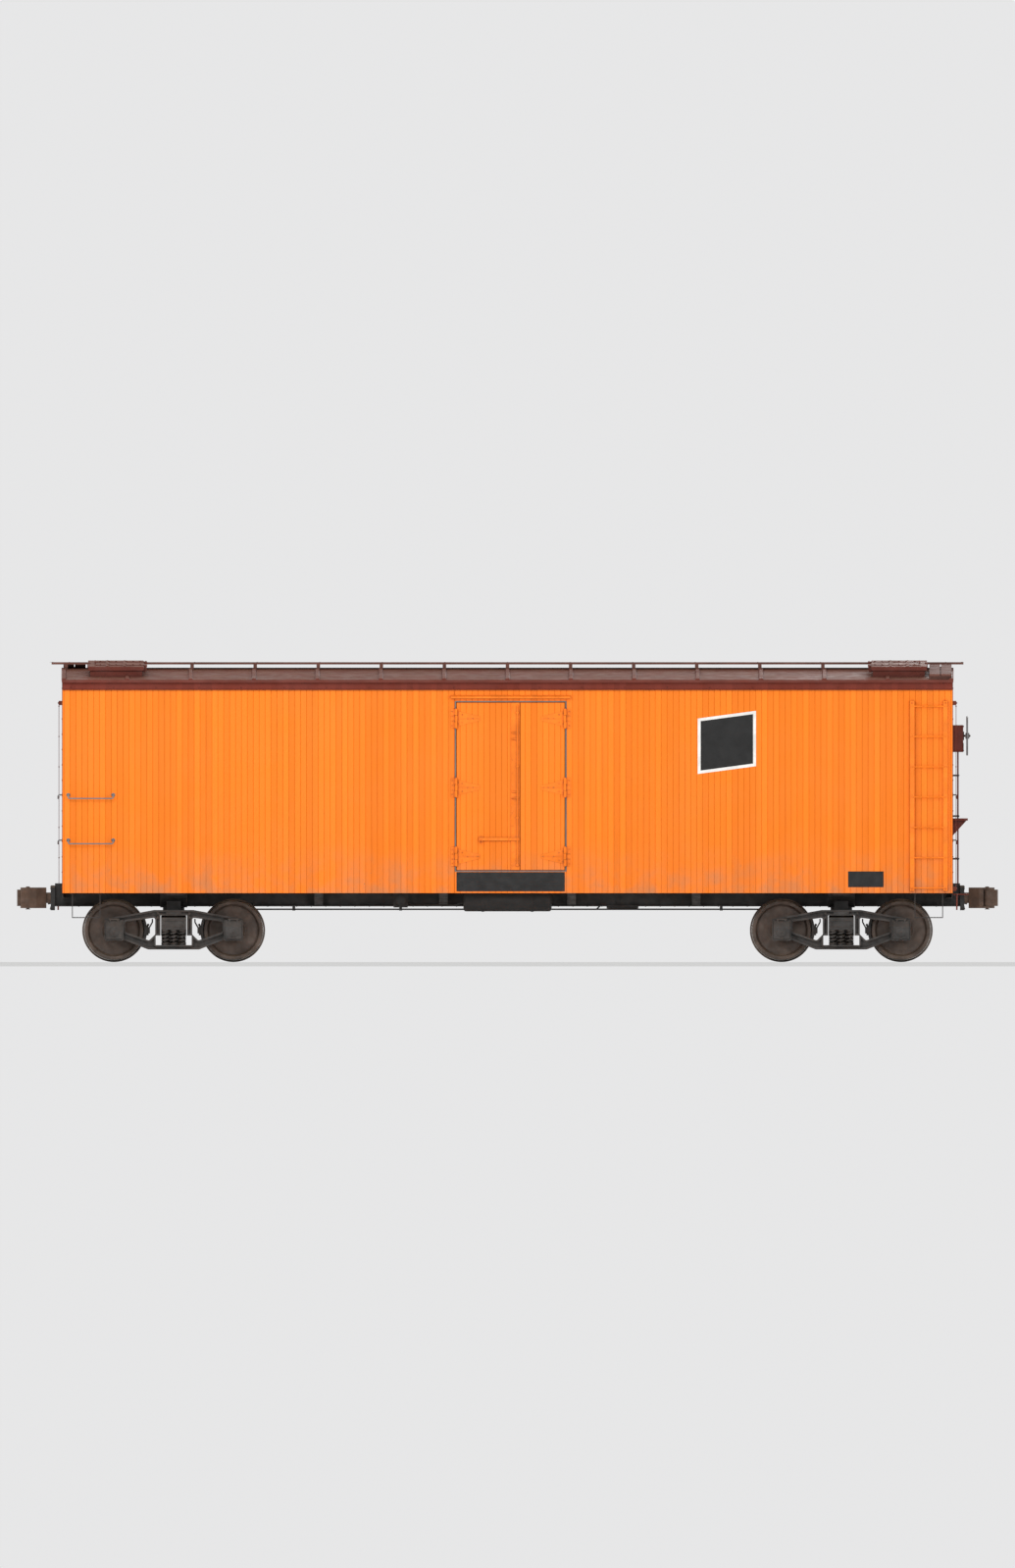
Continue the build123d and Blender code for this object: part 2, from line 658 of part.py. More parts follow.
def end_sills():
    """A channel across each end on both sides of the centre sill."""
    low = FLOOR_BOTTOM_Z - END_SILL_H
    x0, x1 = HALF_L - END_SILL_FLANGE, HALF_L
    outline = block((x0, x1), (SILL_WEB_Y, INNER_Y), (low, FLOOR_BOTTOM_Z))
    hollow = block(
        (x0 - SILL_T, x1 - SILL_T),
        (SILL_WEB_Y - SILL_T, INNER_Y + SILL_T),
        (low + SILL_T, FLOOR_BOTTOM_Z - SILL_T),
    )
    quarter = outline - hollow
    return [quarter, side_mirrored(quarter), end_mirrored(quarter), half_turned(quarter)]


def train_pipe_hole(x, half_length):
    return rod((x - half_length, TRAIN_PIPE_Y, TRAIN_PIPE_Z), (x + half_length, TRAIN_PIPE_Y, TRAIN_PIPE_Z),
               TRAIN_PIPE_R + TRAIN_PIPE_CLEAR)


def body_bolsters():
    """A tapered beam across the body over each truck, with the centre plate and side bearings below it."""
    cover_z = SILL_BOTTOM_Z - BOLSTER_COVER_T
    outer_y = INNER_Y - SIDE_SILL_FLANGE - BEAM_END_GAP
    section = polygon(
        [
            (SILL_WEB_Y, FLOOR_BOTTOM_Z),
            (outer_y, FLOOR_BOTTOM_Z),
            (outer_y, FLOOR_BOTTOM_Z - BODY_BOLSTER_END_H),
            (SILL_FLANGE_Y + 2 * BOLSTER_COVER_T, SILL_BOTTOM_Z),
            (SILL_FLANGE_Y, SILL_BOTTOM_Z),
            (SILL_FLANGE_Y, SILL_BOTTOM_Z + SILL_FLANGE_T),
            (SILL_WEB_Y, SILL_BOTTOM_Z + SILL_FLANGE_T),
        ]
    )
    wing = along(section, TRUCK_X - BODY_BOLSTER_L / 2, TRUCK_X + BODY_BOLSTER_L / 2)
    bearing = block(
        (TRUCK_X - SIDE_BEARING_L / 2, TRUCK_X + SIDE_BEARING_L / 2),
        (SIDE_BEARING_Y - SIDE_BEARING_W / 2, SIDE_BEARING_Y + SIDE_BEARING_W / 2),
        (BOLSTER_TOP_Z + BOWL_H + SIDE_BEARING_GAP, SILL_BOTTOM_Z + BODY_BOLSTER_END_H),
    )
    wing += bearing
    cover_y = SILL_FLANGE_Y + 2 * BOLSTER_COVER_T
    cover = block(
        (TRUCK_X - BODY_BOLSTER_L / 2, TRUCK_X + BODY_BOLSTER_L / 2), (-cover_y, cover_y), (cover_z, SILL_BOTTOM_Z)
    )
    plate_low = BOLSTER_TOP_Z + PLATE_GAP
    plate = Pos(TRUCK_X, 0, (plate_low + cover_z) / 2) * Cylinder(CENTRE_PLATE_R, cover_z - plate_low)
    beam = wing + side_mirrored(wing) + cover + plate - train_pipe_hole(TRUCK_X, BODY_BOLSTER_L)
    return [beam, end_mirrored(beam)]


def crossbearers():
    """Plates with a flange below, from the centre sill out to the side sills."""
    outer_y = INNER_Y - SIDE_SILL_FLANGE - BEAM_END_GAP
    section = polygon(
        [
            (SILL_WEB_Y, FLOOR_BOTTOM_Z),
            (outer_y, FLOOR_BOTTOM_Z),
            (outer_y, FLOOR_BOTTOM_Z - CROSSBEARER_END_H),
            (SILL_FLANGE_Y + BEAM_END_GAP, SILL_BOTTOM_Z + SILL_FLANGE_T),
            (SILL_WEB_Y, SILL_BOTTOM_Z + SILL_FLANGE_T),
        ]
    )
    flange_section = polygon(
        [
            (outer_y, FLOOR_BOTTOM_Z - CROSSBEARER_END_H),
            (SILL_FLANGE_Y + BEAM_END_GAP, SILL_BOTTOM_Z + SILL_FLANGE_T),
            (SILL_FLANGE_Y + BEAM_END_GAP, SILL_BOTTOM_Z + SILL_FLANGE_T + CROSSBEARER_T),
            (outer_y, FLOOR_BOTTOM_Z - CROSSBEARER_END_H + CROSSBEARER_T),
        ]
    )
    pieces = []
    for x in CROSSBEARER_X:
        wing = along(section, x - CROSSBEARER_T / 2, x + CROSSBEARER_T / 2)
        wing += along(flange_section, x - CROSSBEARER_FLANGE / 2, x + CROSSBEARER_FLANGE / 2)
        bored = wing - train_pipe_hole(x, CROSSBEARER_FLANGE)
        other = side_mirrored(wing) - train_pipe_hole(x, CROSSBEARER_FLANGE)
        pieces += [bored, other, end_mirrored(bored), end_mirrored(other)]
    return pieces


# ---------------------------------------------------------------- floor, walls and roof
def floor():
    return block((-INNER_X, INNER_X), (-INNER_Y, INNER_Y), (FLOOR_BOTTOM_Z, FLOOR_Z))


def floor_racks():
    """Cross slats on stringers over the whole load space between the bulkheads."""
    reach = BULKHEAD_X - BULKHEAD_T - RACK_GAP
    half_w = INNER_Y - RACK_GAP
    slat_pitch = SLAT_W + SLAT_GAP
    count = int((2 * reach + SLAT_GAP) / slat_pitch)
    stringer_y = [half_w - STRINGER_W / 2, half_w / 2, 0, -half_w / 2, -half_w + STRINGER_W / 2]
    length = count * slat_pitch - SLAT_GAP
    rack = None
    for y in stringer_y:
        bar = block(
            (-length / 2, length / 2), (y - STRINGER_W / 2, y + STRINGER_W / 2), (FLOOR_Z, RACK_Z - SLAT_T)
        )
        rack = bar if rack is None else rack + bar
    first = -length / 2
    slats = [
        block(
            (first + n * slat_pitch, first + n * slat_pitch + SLAT_W), (-half_w, half_w), (RACK_Z - SLAT_T, RACK_Z)
        )
        for n in range(count)
    ]
    return rack + slats


def side_wall():
    """The right side wall: insulated framing and sheathing with a rebated doorway."""
    wall = block((-HALF_L, HALF_L), (-HALF_W, -INNER_Y), (SIDE_BOTTOM_Z, ROOF_SEAT_Z))
    rebate = block(
        (DOOR_X0 - DOOR_GAP, DOOR_X1 + DOOR_GAP),
        (-HALF_W - DOOR_GAP, -HALF_W + LAP_T + DOOR_GAP),
        (LEAF_Z0 - DOOR_GAP, LEAF_Z1 + DOOR_GAP),
    )
    clear = LAP - DOOR_GAP
    opening = block(
        (DOOR_X0 + clear, DOOR_X1 - clear), (-HALF_W - DOOR_GAP, -INNER_Y + DOOR_GAP), (LEAF_Z0 + clear, LEAF_Z1 - clear)
    )
    return wall - rebate - opening


def end_walls():
    wall = block((INNER_X, HALF_L), (-INNER_Y, INNER_Y), (FLOOR_BOTTOM_Z, ROOF_SEAT_Z))
    return [wall, half_turned(wall)]


def fascia_boards():
    """The board under the roof's edge along each side."""
    board = block((-HALF_L, HALF_L), (-HALF_W - FASCIA_T, -HALF_W), (WALL_TOP_Z, ROOF_SEAT_Z))
    return [board, half_turned(board)]


def roof(x0, x1, ceiling_x1):
    """A length of the insulated roof. Its ceiling stops at ceiling_x1, where an end wall stands under it."""
    edge = EAVE_W / 2
    shell = polygon([(-edge, EAVE_Z), (0, RIDGE_Z), (edge, EAVE_Z), (edge, ROOF_SEAT_Z), (-edge, ROOF_SEAT_Z)])
    return along(shell, x0, x1) + block((x0, ceiling_x1), (-INNER_Y, INNER_Y), (CEILING_Z, ROOF_SEAT_Z + ROOF_EDGE_T))


def on_roof(x, y):
    """The frame at a point on the roof, tilted with the slope there."""
    tilt = -ROOF_SLOPE if y > 0 else ROOF_SLOPE
    return Pos(x, y, roof_z(y)) * Rot(degrees(tilt), 0, 0)


def hatch_well(y, half_x, half_y, depth):
    return on_roof(HATCH_X, y) * Box(2 * half_x, 2 * half_y, 2 * depth)


def roof_end():
    """The B end of the roof, with two ice hatch openings."""
    piece = roof(ROOF_SPLIT_X, HALF_L + ROOF_END_LAP, INNER_X)
    for y in (-HATCH_Y, HATCH_Y):
        piece -= hatch_well(y, HATCH_L / 2, HATCH_W / 2, RIDGE_Z - CEILING_Z + HATCH_FRAME_H)
    return piece


def bulkheads():
    """The wall between the load space and each ice bunker, open above and below for air."""
    x = (BULKHEAD_X - BULKHEAD_T, BULKHEAD_X)
    z = (FLOOR_Z + BULKHEAD_AIR_GAP_LOW, CEILING_Z - BULKHEAD_AIR_GAP_HIGH)
    wall = block(x, (-INNER_Y, INNER_Y), z)
    return [wall, half_turned(wall)]


# ---------------------------------------------------------------- ice hatches
def hatch_frames():
    """A coaming round each hatch opening, with the fixed knuckles and pins of the cover's hinges."""
    outer_x = HATCH_L / 2 + HATCH_FRAME_T
    outer_y = HATCH_W / 2 + HATCH_FRAME_T
    frame = Pos(0, 0, HATCH_FRAME_H / 2) * (
        Box(2 * outer_x, 2 * outer_y, HATCH_FRAME_H) - Box(HATCH_L, HATCH_W, 2 * HATCH_FRAME_H)
    )
    pin_x = -HATCH_PIN_X
    for y in (-HATCH_STRAP_Y, HATCH_STRAP_Y):
        for side in (-1, 1):
            near = y + side * (HATCH_STRAP_W / 2 + HATCH_KNUCKLE_GAP)
            far = near + side * HATCH_BUTT_W
            knuckle = rod((pin_x, near, HATCH_PIN_Z), (pin_x, far, HATCH_PIN_Z), HATCH_KNUCKLE_R)
            low, high = min(near, far), max(near, far)
            arm = block((pin_x, -outer_x + 1), (low, high), (HATCH_FRAME_H - HATCH_ARM_H, HATCH_FRAME_H))
            frame += knuckle + arm + block((pin_x - 12, pin_x + 12), (low, high), (HATCH_FRAME_H - 10, HATCH_PIN_Z))
        half_pin = HATCH_STRAP_W / 2 + HATCH_KNUCKLE_GAP + HATCH_BUTT_W
        frame += rod((pin_x, y - half_pin, HATCH_PIN_Z), (pin_x, y + half_pin, HATCH_PIN_Z), HATCH_PIN_R)
    pieces = [on_roof(HATCH_X, y) * frame for y in (-HATCH_Y, HATCH_Y)]
    return pieces + [end_mirrored(piece) for piece in pieces]


def hatch_cover(y):
    """The cover of the B end's hatch at y, with its insulating plug and two hinge straps."""
    low = HATCH_FRAME_H + HATCH_SEAT_GAP
    half_x = HATCH_L / 2 + HATCH_FRAME_T + HATCH_LAP
    half_y = HATCH_W / 2 + HATCH_FRAME_T + HATCH_LAP
    lid = Pos(0, 0, low + COVER_T / 2) * Box(2 * half_x, 2 * half_y, COVER_T)
    lid = chamfer(lid.edges().group_by(Axis.Z)[-1], COVER_CHAMFER)
    plug_x = HATCH_L / 2 - PLUG_CLEAR
    plug_y = HATCH_W / 2 - PLUG_CLEAR
    top = Pos(0, 0, low + 1) * Rectangle(2 * plug_x, 2 * plug_y)
    bottom = Pos(0, 0, low - PLUG_DEPTH) * Rectangle(2 * (plug_x - PLUG_TAPER), 2 * (plug_y - PLUG_TAPER))
    cover = lid + loft([bottom, top])
    for strap_y in (-HATCH_STRAP_Y, HATCH_STRAP_Y):
        rows = (strap_y - HATCH_STRAP_W / 2, strap_y + HATCH_STRAP_W / 2)
        strap_top = low + COVER_T + HATCH_STRAP_T
        cover += block((-half_x - 1, half_x - HATCH_STRAP_SHORT), rows, (low + COVER_T - 1, strap_top))
        cover += block((-HATCH_PIN_X, -half_x), rows, (HATCH_PIN_Z, strap_top))
        cover += rod((-HATCH_PIN_X, rows[0], HATCH_PIN_Z), (-HATCH_PIN_X, rows[1], HATCH_PIN_Z), HATCH_KNUCKLE_R)
        bore_y = (rows[0] - 1, rows[1] + 1)
        cover -= rod(
            (-HATCH_PIN_X, bore_y[0], HATCH_PIN_Z), (-HATCH_PIN_X, bore_y[1], HATCH_PIN_Z), HATCH_PIN_R + PIN_CLEAR
        )
    return on_roof(HATCH_X, y) * cover


# ---------------------------------------------------------------- side doors of the right side
def leaf(x_hinge, x_meet):
    """A door leaf: an outer face that laps over the frame, a thicker inner part and a bevelled meeting edge."""
    toward = 1 if x_meet > x_hinge else -1
    bevel = (LEAF_T + PIN_OUT) ** 2 / (2 * LEAF_NARROW) + MEET_CLEAR
    lap_bevel = bevel * LAP_T / LEAF_T
    face_y, lap_y, inner_y = -HALF_W, -HALF_W + LAP_T, -HALF_W + LEAF_T
    plan = [(x_hinge, face_y), (x_meet, face_y), (x_meet - toward * lap_bevel, lap_y), (x_hinge, lap_y)]
    lap = upright(polygon(plan), LEAF_Z0, LEAF_Z1)
    plan = [
        (x_hinge + toward * LAP, lap_y - 1),
        (x_meet - toward * lap_bevel, lap_y - 1),
        (x_meet - toward * bevel, inner_y),
        (x_hinge + toward * LAP, inner_y),
    ]
    return lap + upright(polygon(plan), LEAF_Z0 + LAP, LEAF_Z1 - LAP)


def hinge_levels():
    """The bottom of each hinge."""
    low = LEAF_Z0 + HINGE_LOW_Z_UP - HINGE_H / 2
    return [low + n * HINGE_SPACING for n in range(HINGE_COUNT)]


def strap_hinges(pin_x, toward):
    """The moving half of a leaf's hinges: a tapered strap and the middle knuckle of each."""
    pieces = []
    knuckle_h = (HINGE_H - 2 * KNUCKLE_GAP) / 3
    for low in hinge_levels():
        middle = low + HINGE_H / 2
        root = pin_x + toward * STRAP_OFF_PIN
        shoulder = pin_x + toward * STRAP_ROOT_W
        tip = pin_x + toward * STRAP_L
        outline = [
            (root, middle - STRAP_ROOT_H / 2),
            (shoulder, middle - STRAP_ROOT_H / 2),
            (tip, middle - STRAP_TIP_H / 2),
            (tip, middle + STRAP_TIP_H / 2),
            (shoulder, middle + STRAP_ROOT_H / 2),
            (root, middle + STRAP_ROOT_H / 2),
        ]
        strap = across(polygon(outline), -HALF_W - STRAP_T, -HALF_W)
        z = (middle - knuckle_h / 2, middle + knuckle_h / 2)
        web_x = sorted((pin_x, pin_x + toward * (STRAP_OFF_PIN + KNUCKLE_R)))
        strap += block(web_x, (PIN_Y, -HALF_W - 1), z)
        strap += rod((pin_x, PIN_Y, z[0]), (pin_x, PIN_Y, z[1]), KNUCKLE_R)
        corner = sorted((pin_x - toward * KNUCKLE_R, pin_x + toward * STRAP_OFF_PIN))
        strap -= block(corner, (-HALF_W - STRAP_T - 1, -HALF_W + 1), z)
        strap -= rod((pin_x, PIN_Y, z[0] - 1), (pin_x, PIN_Y, z[1] + 1), PIN_R + PIN_CLEAR)
        pieces.append(strap)
    return pieces


def hinge_butts():
    """The fixed half of all the door hinges: a plate on the wall, two knuckles and the pin of each."""
    pieces = []
    knuckle_h = (HINGE_H - 2 * KNUCKLE_GAP) / 3
    for pin_x, away in ((PIN_X0, -1), (PIN_X1, 1)):
        for low in hinge_levels():
            plate_x = sorted((pin_x + away * BUTT_OFF_PIN, pin_x + away * BUTT_W))
            butt = block(plate_x, (-HALF_W - BUTT_T, -HALF_W), (low, low + HINGE_H))
            for z0 in (low, low + HINGE_H - knuckle_h):
                web_x = sorted((pin_x + away * 1, pin_x + away * (BUTT_OFF_PIN + KNUCKLE_R)))
                butt += block(web_x, (PIN_Y, -HALF_W - BUTT_T / 2), (z0, z0 + knuckle_h))
                butt += rod((pin_x, PIN_Y, z0), (pin_x, PIN_Y, z0 + knuckle_h), KNUCKLE_R)
            butt += rod((pin_x, PIN_Y, low), (pin_x, PIN_Y, low + HINGE_H), PIN_R)
            pieces.append(butt)
    return pieces + [half_turned(piece) for piece in pieces]


def door_latch():
    """The batten on the wide leaf's meeting edge and the latch bar across it."""
    edge = DOOR_X0 + LEAF_WIDE
    batten = block((edge - BATTEN_W, edge), (-HALF_W - BATTEN_T, -HALF_W), (LEAF_Z0, LEAF_Z1))
    middle = LEAF_Z0 + LATCH_UP
    bar = block(
        (edge - LATCH_L, edge),
        (-HALF_W - BATTEN_T - LATCH_T, -HALF_W - BATTEN_T),
        (middle - LATCH_H / 2, middle + LATCH_H / 2),
    )
    guide_x = edge - LATCH_L
    guide = block(
        (guide_x, guide_x + LATCH_GUIDE_W),
        (-HALF_W - BATTEN_T, -HALF_W),
        (middle - LATCH_H, middle + LATCH_H),
    )
    return batten + bar + guide


def door_hoods():
    """The rain strip over each pair of doors, sloped on top."""
    low = LEAF_Z1 + HOOD_UP
    section = [
        (-HALF_W, low + HOOD_H),
        (-HALF_W - HOOD_T, low + HOOD_H / 2),
        (-HALF_W - HOOD_T, low),
        (-HALF_W, low),
    ]
    hood = along(polygon(section), DOOR_SHIFT - HOOD_W / 2, DOOR_SHIFT + HOOD_W / 2)
    return [hood, half_turned(hood)]


def threshold_plates():
    high = LEAF_Z0 - THRESHOLD_DOWN
    plate = block((DOOR_X0, DOOR_X1), (-HALF_W - THRESHOLD_T, -HALF_W), (high - THRESHOLD_H, high))
    return [plate, half_turned(plate)]


# ---------------------------------------------------------------- running boards, ladders, grab irons and steps
def running_boards():
    """Three planks along the ridge, and two short planks across to the eave at each end, on saddles."""
    low = RIDGE_Z + SADDLE_H
    reach = HALF_L + BOARD_OVER_END
    pitch = PLANK_W + PLANK_GAP
    boards = None
    for n in (-1, 0, 1):
        plank = block((-reach, reach), (n * pitch - PLANK_W / 2, n * pitch + PLANK_W / 2), (low, low + PLANK_T))
        boards = plank if boards is None else boards + plank
    half_w = pitch + PLANK_W / 2
    saddle = polygon([(-half_w, roof_z(half_w)), (0, RIDGE_Z), (half_w, roof_z(half_w)), (half_w, low), (-half_w, low)])
    for n in range(SADDLE_COUNT):
        x = -HALF_L + SADDLE_T + n * (2 * HALF_L - 2 * SADDLE_T) / (SADDLE_COUNT - 1)
        boards += along(saddle, x - SADDLE_T / 2, x + SADDLE_T / 2)
    lateral = lateral_boards(half_w + LATERAL_GAP)
    return [boards, lateral, half_turned(lateral)]


def lateral_boards(near):
    """The short boards from the running board to the eave above a ladder."""
    far = EAVE_W / 2 - LATERAL_EAVE_GAP
    length = far - near
    pieces = None
    for n in (0, 1):
        x1 = HALF_L - LATERAL_OFF_END - n * (PLANK_W + PLANK_GAP)
        plank = block((x1 - PLANK_W, x1), (-length / 2, length / 2), (SADDLE_H, SADDLE_H + PLANK_T))
        pieces = plank if pieces is None else pieces + plank
    x0 = HALF_L - LATERAL_OFF_END - 2 * PLANK_W - PLANK_GAP
    for y in (-length / 2 + SADDLE_T, 0, length / 2 - SADDLE_T):
        rows = (y - SADDLE_T / 2, y + SADDLE_T / 2)
        pieces += block((x0, HALF_L - LATERAL_OFF_END), rows, (0, SADDLE_H))
    middle = (near + far) / 2
    return Pos(0, -middle, roof_z(middle)) * Rot(degrees(ROOF_SLOPE), 0, 0) * pieces


def ladder():
    """A ladder standing off a wall that faces -Y, centred on X = 0 with its foot at Z = 0."""
    pieces = None
    back = -STILE_OUT
    for side in (-1, 1):
        outer = side * LADDER_W / 2
        inner = outer - side * STILE_W
        x = sorted((inner, outer))
        stile = block(x, (back - STILE_T, back), (0, LADDER_H))
        for z in (0, LADDER_H - FOOT_H):
            stile += block(x, (back, 0), (z, z + FOOT_H))
        pieces = stile if pieces is None else pieces + stile
    reach = LADDER_W / 2 - STILE_W / 2
    for n in range(RUNG_COUNT):
        z = RUNG_LOW + n * RUNG_SPACING
        pieces += rod((-reach, back - STILE_T / 2, z), (reach, back - STILE_T / 2, z), RUNG_R)
    return pieces


LADDER_Z = SIDE_BOTTOM_Z + LADDER_UP


def side_ladders():
    one = Pos(HALF_L - LADDER_OFF_END - LADDER_W / 2, -HALF_W, LADDER_Z) * ladder()
    return [one, half_turned(one)]


def end_ladders():
    one = Pos(HALF_L, -(HALF_W - END_LADDER_IN - LADDER_W / 2), LADDER_Z) * Rot(0, 0, 90) * ladder()
    return [one, half_turned(one)]


def grab_iron():
    """A bar off a wall that faces -Y. Both ends turn up and then back to a round foot on the wall."""
    half = GRAB_L / 2
    out = -GRAB_OUT
    points = [(-half, 0, GRAB_DROP), (-half, out, GRAB_DROP), (-half, out, 0)]
    points += [(-x, y, z) for x, y, z in reversed(points)]
    bar = bent_rod(points, GRAB_R, GRAB_BEND)
    for x in (-half, half):
        bar += rod((x, 0, GRAB_DROP), (x, -GRAB_FOOT_T, GRAB_DROP), GRAB_FOOT_R)
    return bar


def grab_irons():
    pieces = []
    for height in GRAB_HEIGHTS:
        iron = grab_iron()
        on_side = Pos(-(HALF_L - GRAB_OFF_END - GRAB_L / 2), -HALF_W, RAIL_Z + height) * iron
        on_end = Pos(HALF_L, HALF_W - GRAB_OFF_END - GRAB_L / 2, RAIL_Z + height) * Rot(0, 0, 90) * iron
        pieces += [on_side, half_turned(on_side), on_end, half_turned(on_end)]
    return pieces


def sill_steps():
    """A stirrup under the side at each corner."""
    x1 = HALF_L - STEP_OFF_END
    x0 = x1 - STEP_W
    y = (-HALF_W + STEP_IN, -HALF_W + STEP_IN + STEP_BAR_W)
    low = SIDE_BOTTOM_Z - STEP_DROP
    stirrup = block((x0, x1), y, (low, low + STEP_BAR_T))
    for x in (x0, x1 - STEP_BAR_T):
        stirrup += block((x, x + STEP_BAR_T), y, (low, SIDE_BOTTOM_Z))
    return [stirrup, end_mirrored(stirrup), side_mirrored(stirrup), half_turned(stirrup)]


# ---------------------------------------------------------------- couplers
HEAD_BACK = 330.0  # horn of the head behind the pulling face
HEAD_FACE = 122.0  # bottom of the throat behind the pulling face
HEAD_W = 300.0
HEAD_H = 290.0
LUG_T = 26.0
LUG_GAP = 3.0
KNUCKLE_PIN_U = -70.0  # knuckle pin from the pulling face
KNUCKLE_PIN_V = 112.0  # knuckle pin from the coupler's centreline
KNUCKLE_HUB_R = 44.0


def head_point(u, v):
    """A point on the B end's coupler: u beyond its pulling face, v towards its knuckle."""
    return (PULLING_X + u, -v)


def knuckle_pin():
    return head_point(KNUCKLE_PIN_U, KNUCKLE_PIN_V)


def coupler():
    """Head with guard arm and knuckle lugs, and the shank back to the pin in the draft gear."""
    half_h = HEAD_H / 2
    body = [(-HEAD_BACK, -SHANK_W / 2 - 20), (-HEAD_BACK, SHANK_W / 2 + 20), (-HEAD_FACE - 60, HEAD_W / 2)]
    body += [(-HEAD_FACE, HEAD_W / 2), (-HEAD_FACE, -88), (-52, -100), (12, -150), (34, -168), (20, -186)]
    body += [(-70, -180), (-HEAD_FACE - 70, -HEAD_W / 2)]
    low, high = COUPLER_Z - half_h, COUPLER_Z + half_h
    head = upright(polygon([head_point(*p) for p in body]), low, high)
    pin_x, pin_y = knuckle_pin()
    lug_plan = [(-HEAD_FACE - 1, 66), (-HEAD_FACE - 1, HEAD_W / 2 + 6), (-52, 168), (-24, 140), (-24, 84), (-60, 60)]
    lug_face = polygon([head_point(*p) for p in lug_plan])
    knuckle_half = KNUCKLE_H / 2 + LUG_GAP
    for z0, z1 in ((COUPLER_Z + knuckle_half, high), (low, COUPLER_Z - knuckle_half)):
        head += upright(lug_face, z0, z1)
    head += rod((pin_x, pin_y, low - PIN_SHOW), (pin_x, pin_y, high + PIN_SHOW), KNUCKLE_PIN_R)
    shank = block(
        (COUPLER_PIN_X, PULLING_X - HEAD_BACK + 1),
        (-SHANK_W / 2, SHANK_W / 2),
        (COUPLER_Z - SHANK_H / 2, COUPLER_Z + SHANK_H / 2),
    )
    butt = Pos(COUPLER_PIN_X, 0, COUPLER_Z) * Cylinder(SHANK_W / 2, SHANK_H)
    return head + shank + butt


def knuckle():
    pin_x, pin_y = knuckle_pin()
    outline = [(-66, 156), (10, 150), (66, 118), (82, 60), (78, 14), (58, -8), (22, -6), (2, 16), (-4, 62), (-44, 76)]
    face = polygon([head_point(*p) for p in outline])
    face = fillet([v for v in face.vertices() if v.X > PULLING_X + 15], 12)
    low, high = COUPLER_Z - KNUCKLE_H / 2, COUPLER_Z + KNUCKLE_H / 2
    jaw = upright(face, low, high)
    jaw += Pos(pin_x, pin_y, COUPLER_Z) * Cylinder(KNUCKLE_HUB_R, KNUCKLE_H)
    return jaw - Pos(pin_x, pin_y, COUPLER_Z) * Cylinder(KNUCKLE_PIN_R + PIN_CLEAR, 2 * KNUCKLE_H)


def draft_gears():
    """The gear box between the webs of the sill behind each coupler."""
    x1 = COUPLER_PIN_X - SHANK_W / 2 - DRAFT_GAP
    half_w = SILL_WEB_Y - SILL_T
    gear = block((x1 - DRAFT_L, x1), (-half_w, half_w), (COUPLER_Z - DRAFT_H / 2, COUPLER_Z + DRAFT_H / 2))
    return [gear, half_turned(gear)]


# ---------------------------------------------------------------- brakes
def brake_housing():
    """The gear box of the hand brake, its shaft, and the rod down to the brake rigging."""
    z = RAIL_Z + BRAKE_WHEEL_ABOVE_RAIL
    face = HALF_L + BRAKE_HOUSING_T
    case = block(
        (HALF_L, face),
        (BRAKE_WHEEL_Y - BRAKE_HOUSING_W / 2, BRAKE_WHEEL_Y + BRAKE_HOUSING_W / 2),
        (z - BRAKE_HOUSING_H * 0.6, z + BRAKE_HOUSING_H * 0.4),
    )
    case = fillet(case.edges().filter_by(Axis.X), 40)
    case += rod((face - 1, BRAKE_WHEEL_Y, z), (face + BRAKE_SHAFT_L, BRAKE_WHEEL_Y, z), BRAKE_SHAFT_R)
    rod_x = HALF_L + BRAKE_HOUSING_T / 2
    top = z - BRAKE_HOUSING_H * 0.6 + 10
    case += rod((rod_x, BRAKE_WHEEL_Y, top), (rod_x, BRAKE_WHEEL_Y, FLOOR_BOTTOM_Z), BRAKE_ROD_R)
    return case


def brake_wheel():
    x = HALF_L + BRAKE_HOUSING_T + BRAKE_WHEEL_OFF
    centre = (x, BRAKE_WHEEL_Y, RAIL_Z + BRAKE_WHEEL_ABOVE_RAIL)
    rim = Rot(0, 90, 0) * Torus(BRAKE_WHEEL_R - BRAKE_WHEEL_RIM_R, BRAKE_WHEEL_RIM_R)
    hub = Rot(0, 90, 0) * Cylinder(BRAKE_HUB_R, BRAKE_HUB_L)
    wheel_body = rim + hub
    for n in range(BRAKE_SPOKES):
        angle = 2 * pi * n / BRAKE_SPOKES
        y, z = sin(angle), cos(angle)
        reach = BRAKE_WHEEL_R - BRAKE_WHEEL_RIM_R
        near = BRAKE_HUB_R * 0.8
        wheel_body += rod((0, y * near, z * near), (0, y * reach, z * reach), BRAKE_SPOKE_R)
    wheel_body -= Rot(0, 90, 0) * Cylinder(BRAKE_SHAFT_R + PIN_CLEAR, 2 * BRAKE_HUB_L)
    return Pos(*centre) * wheel_body


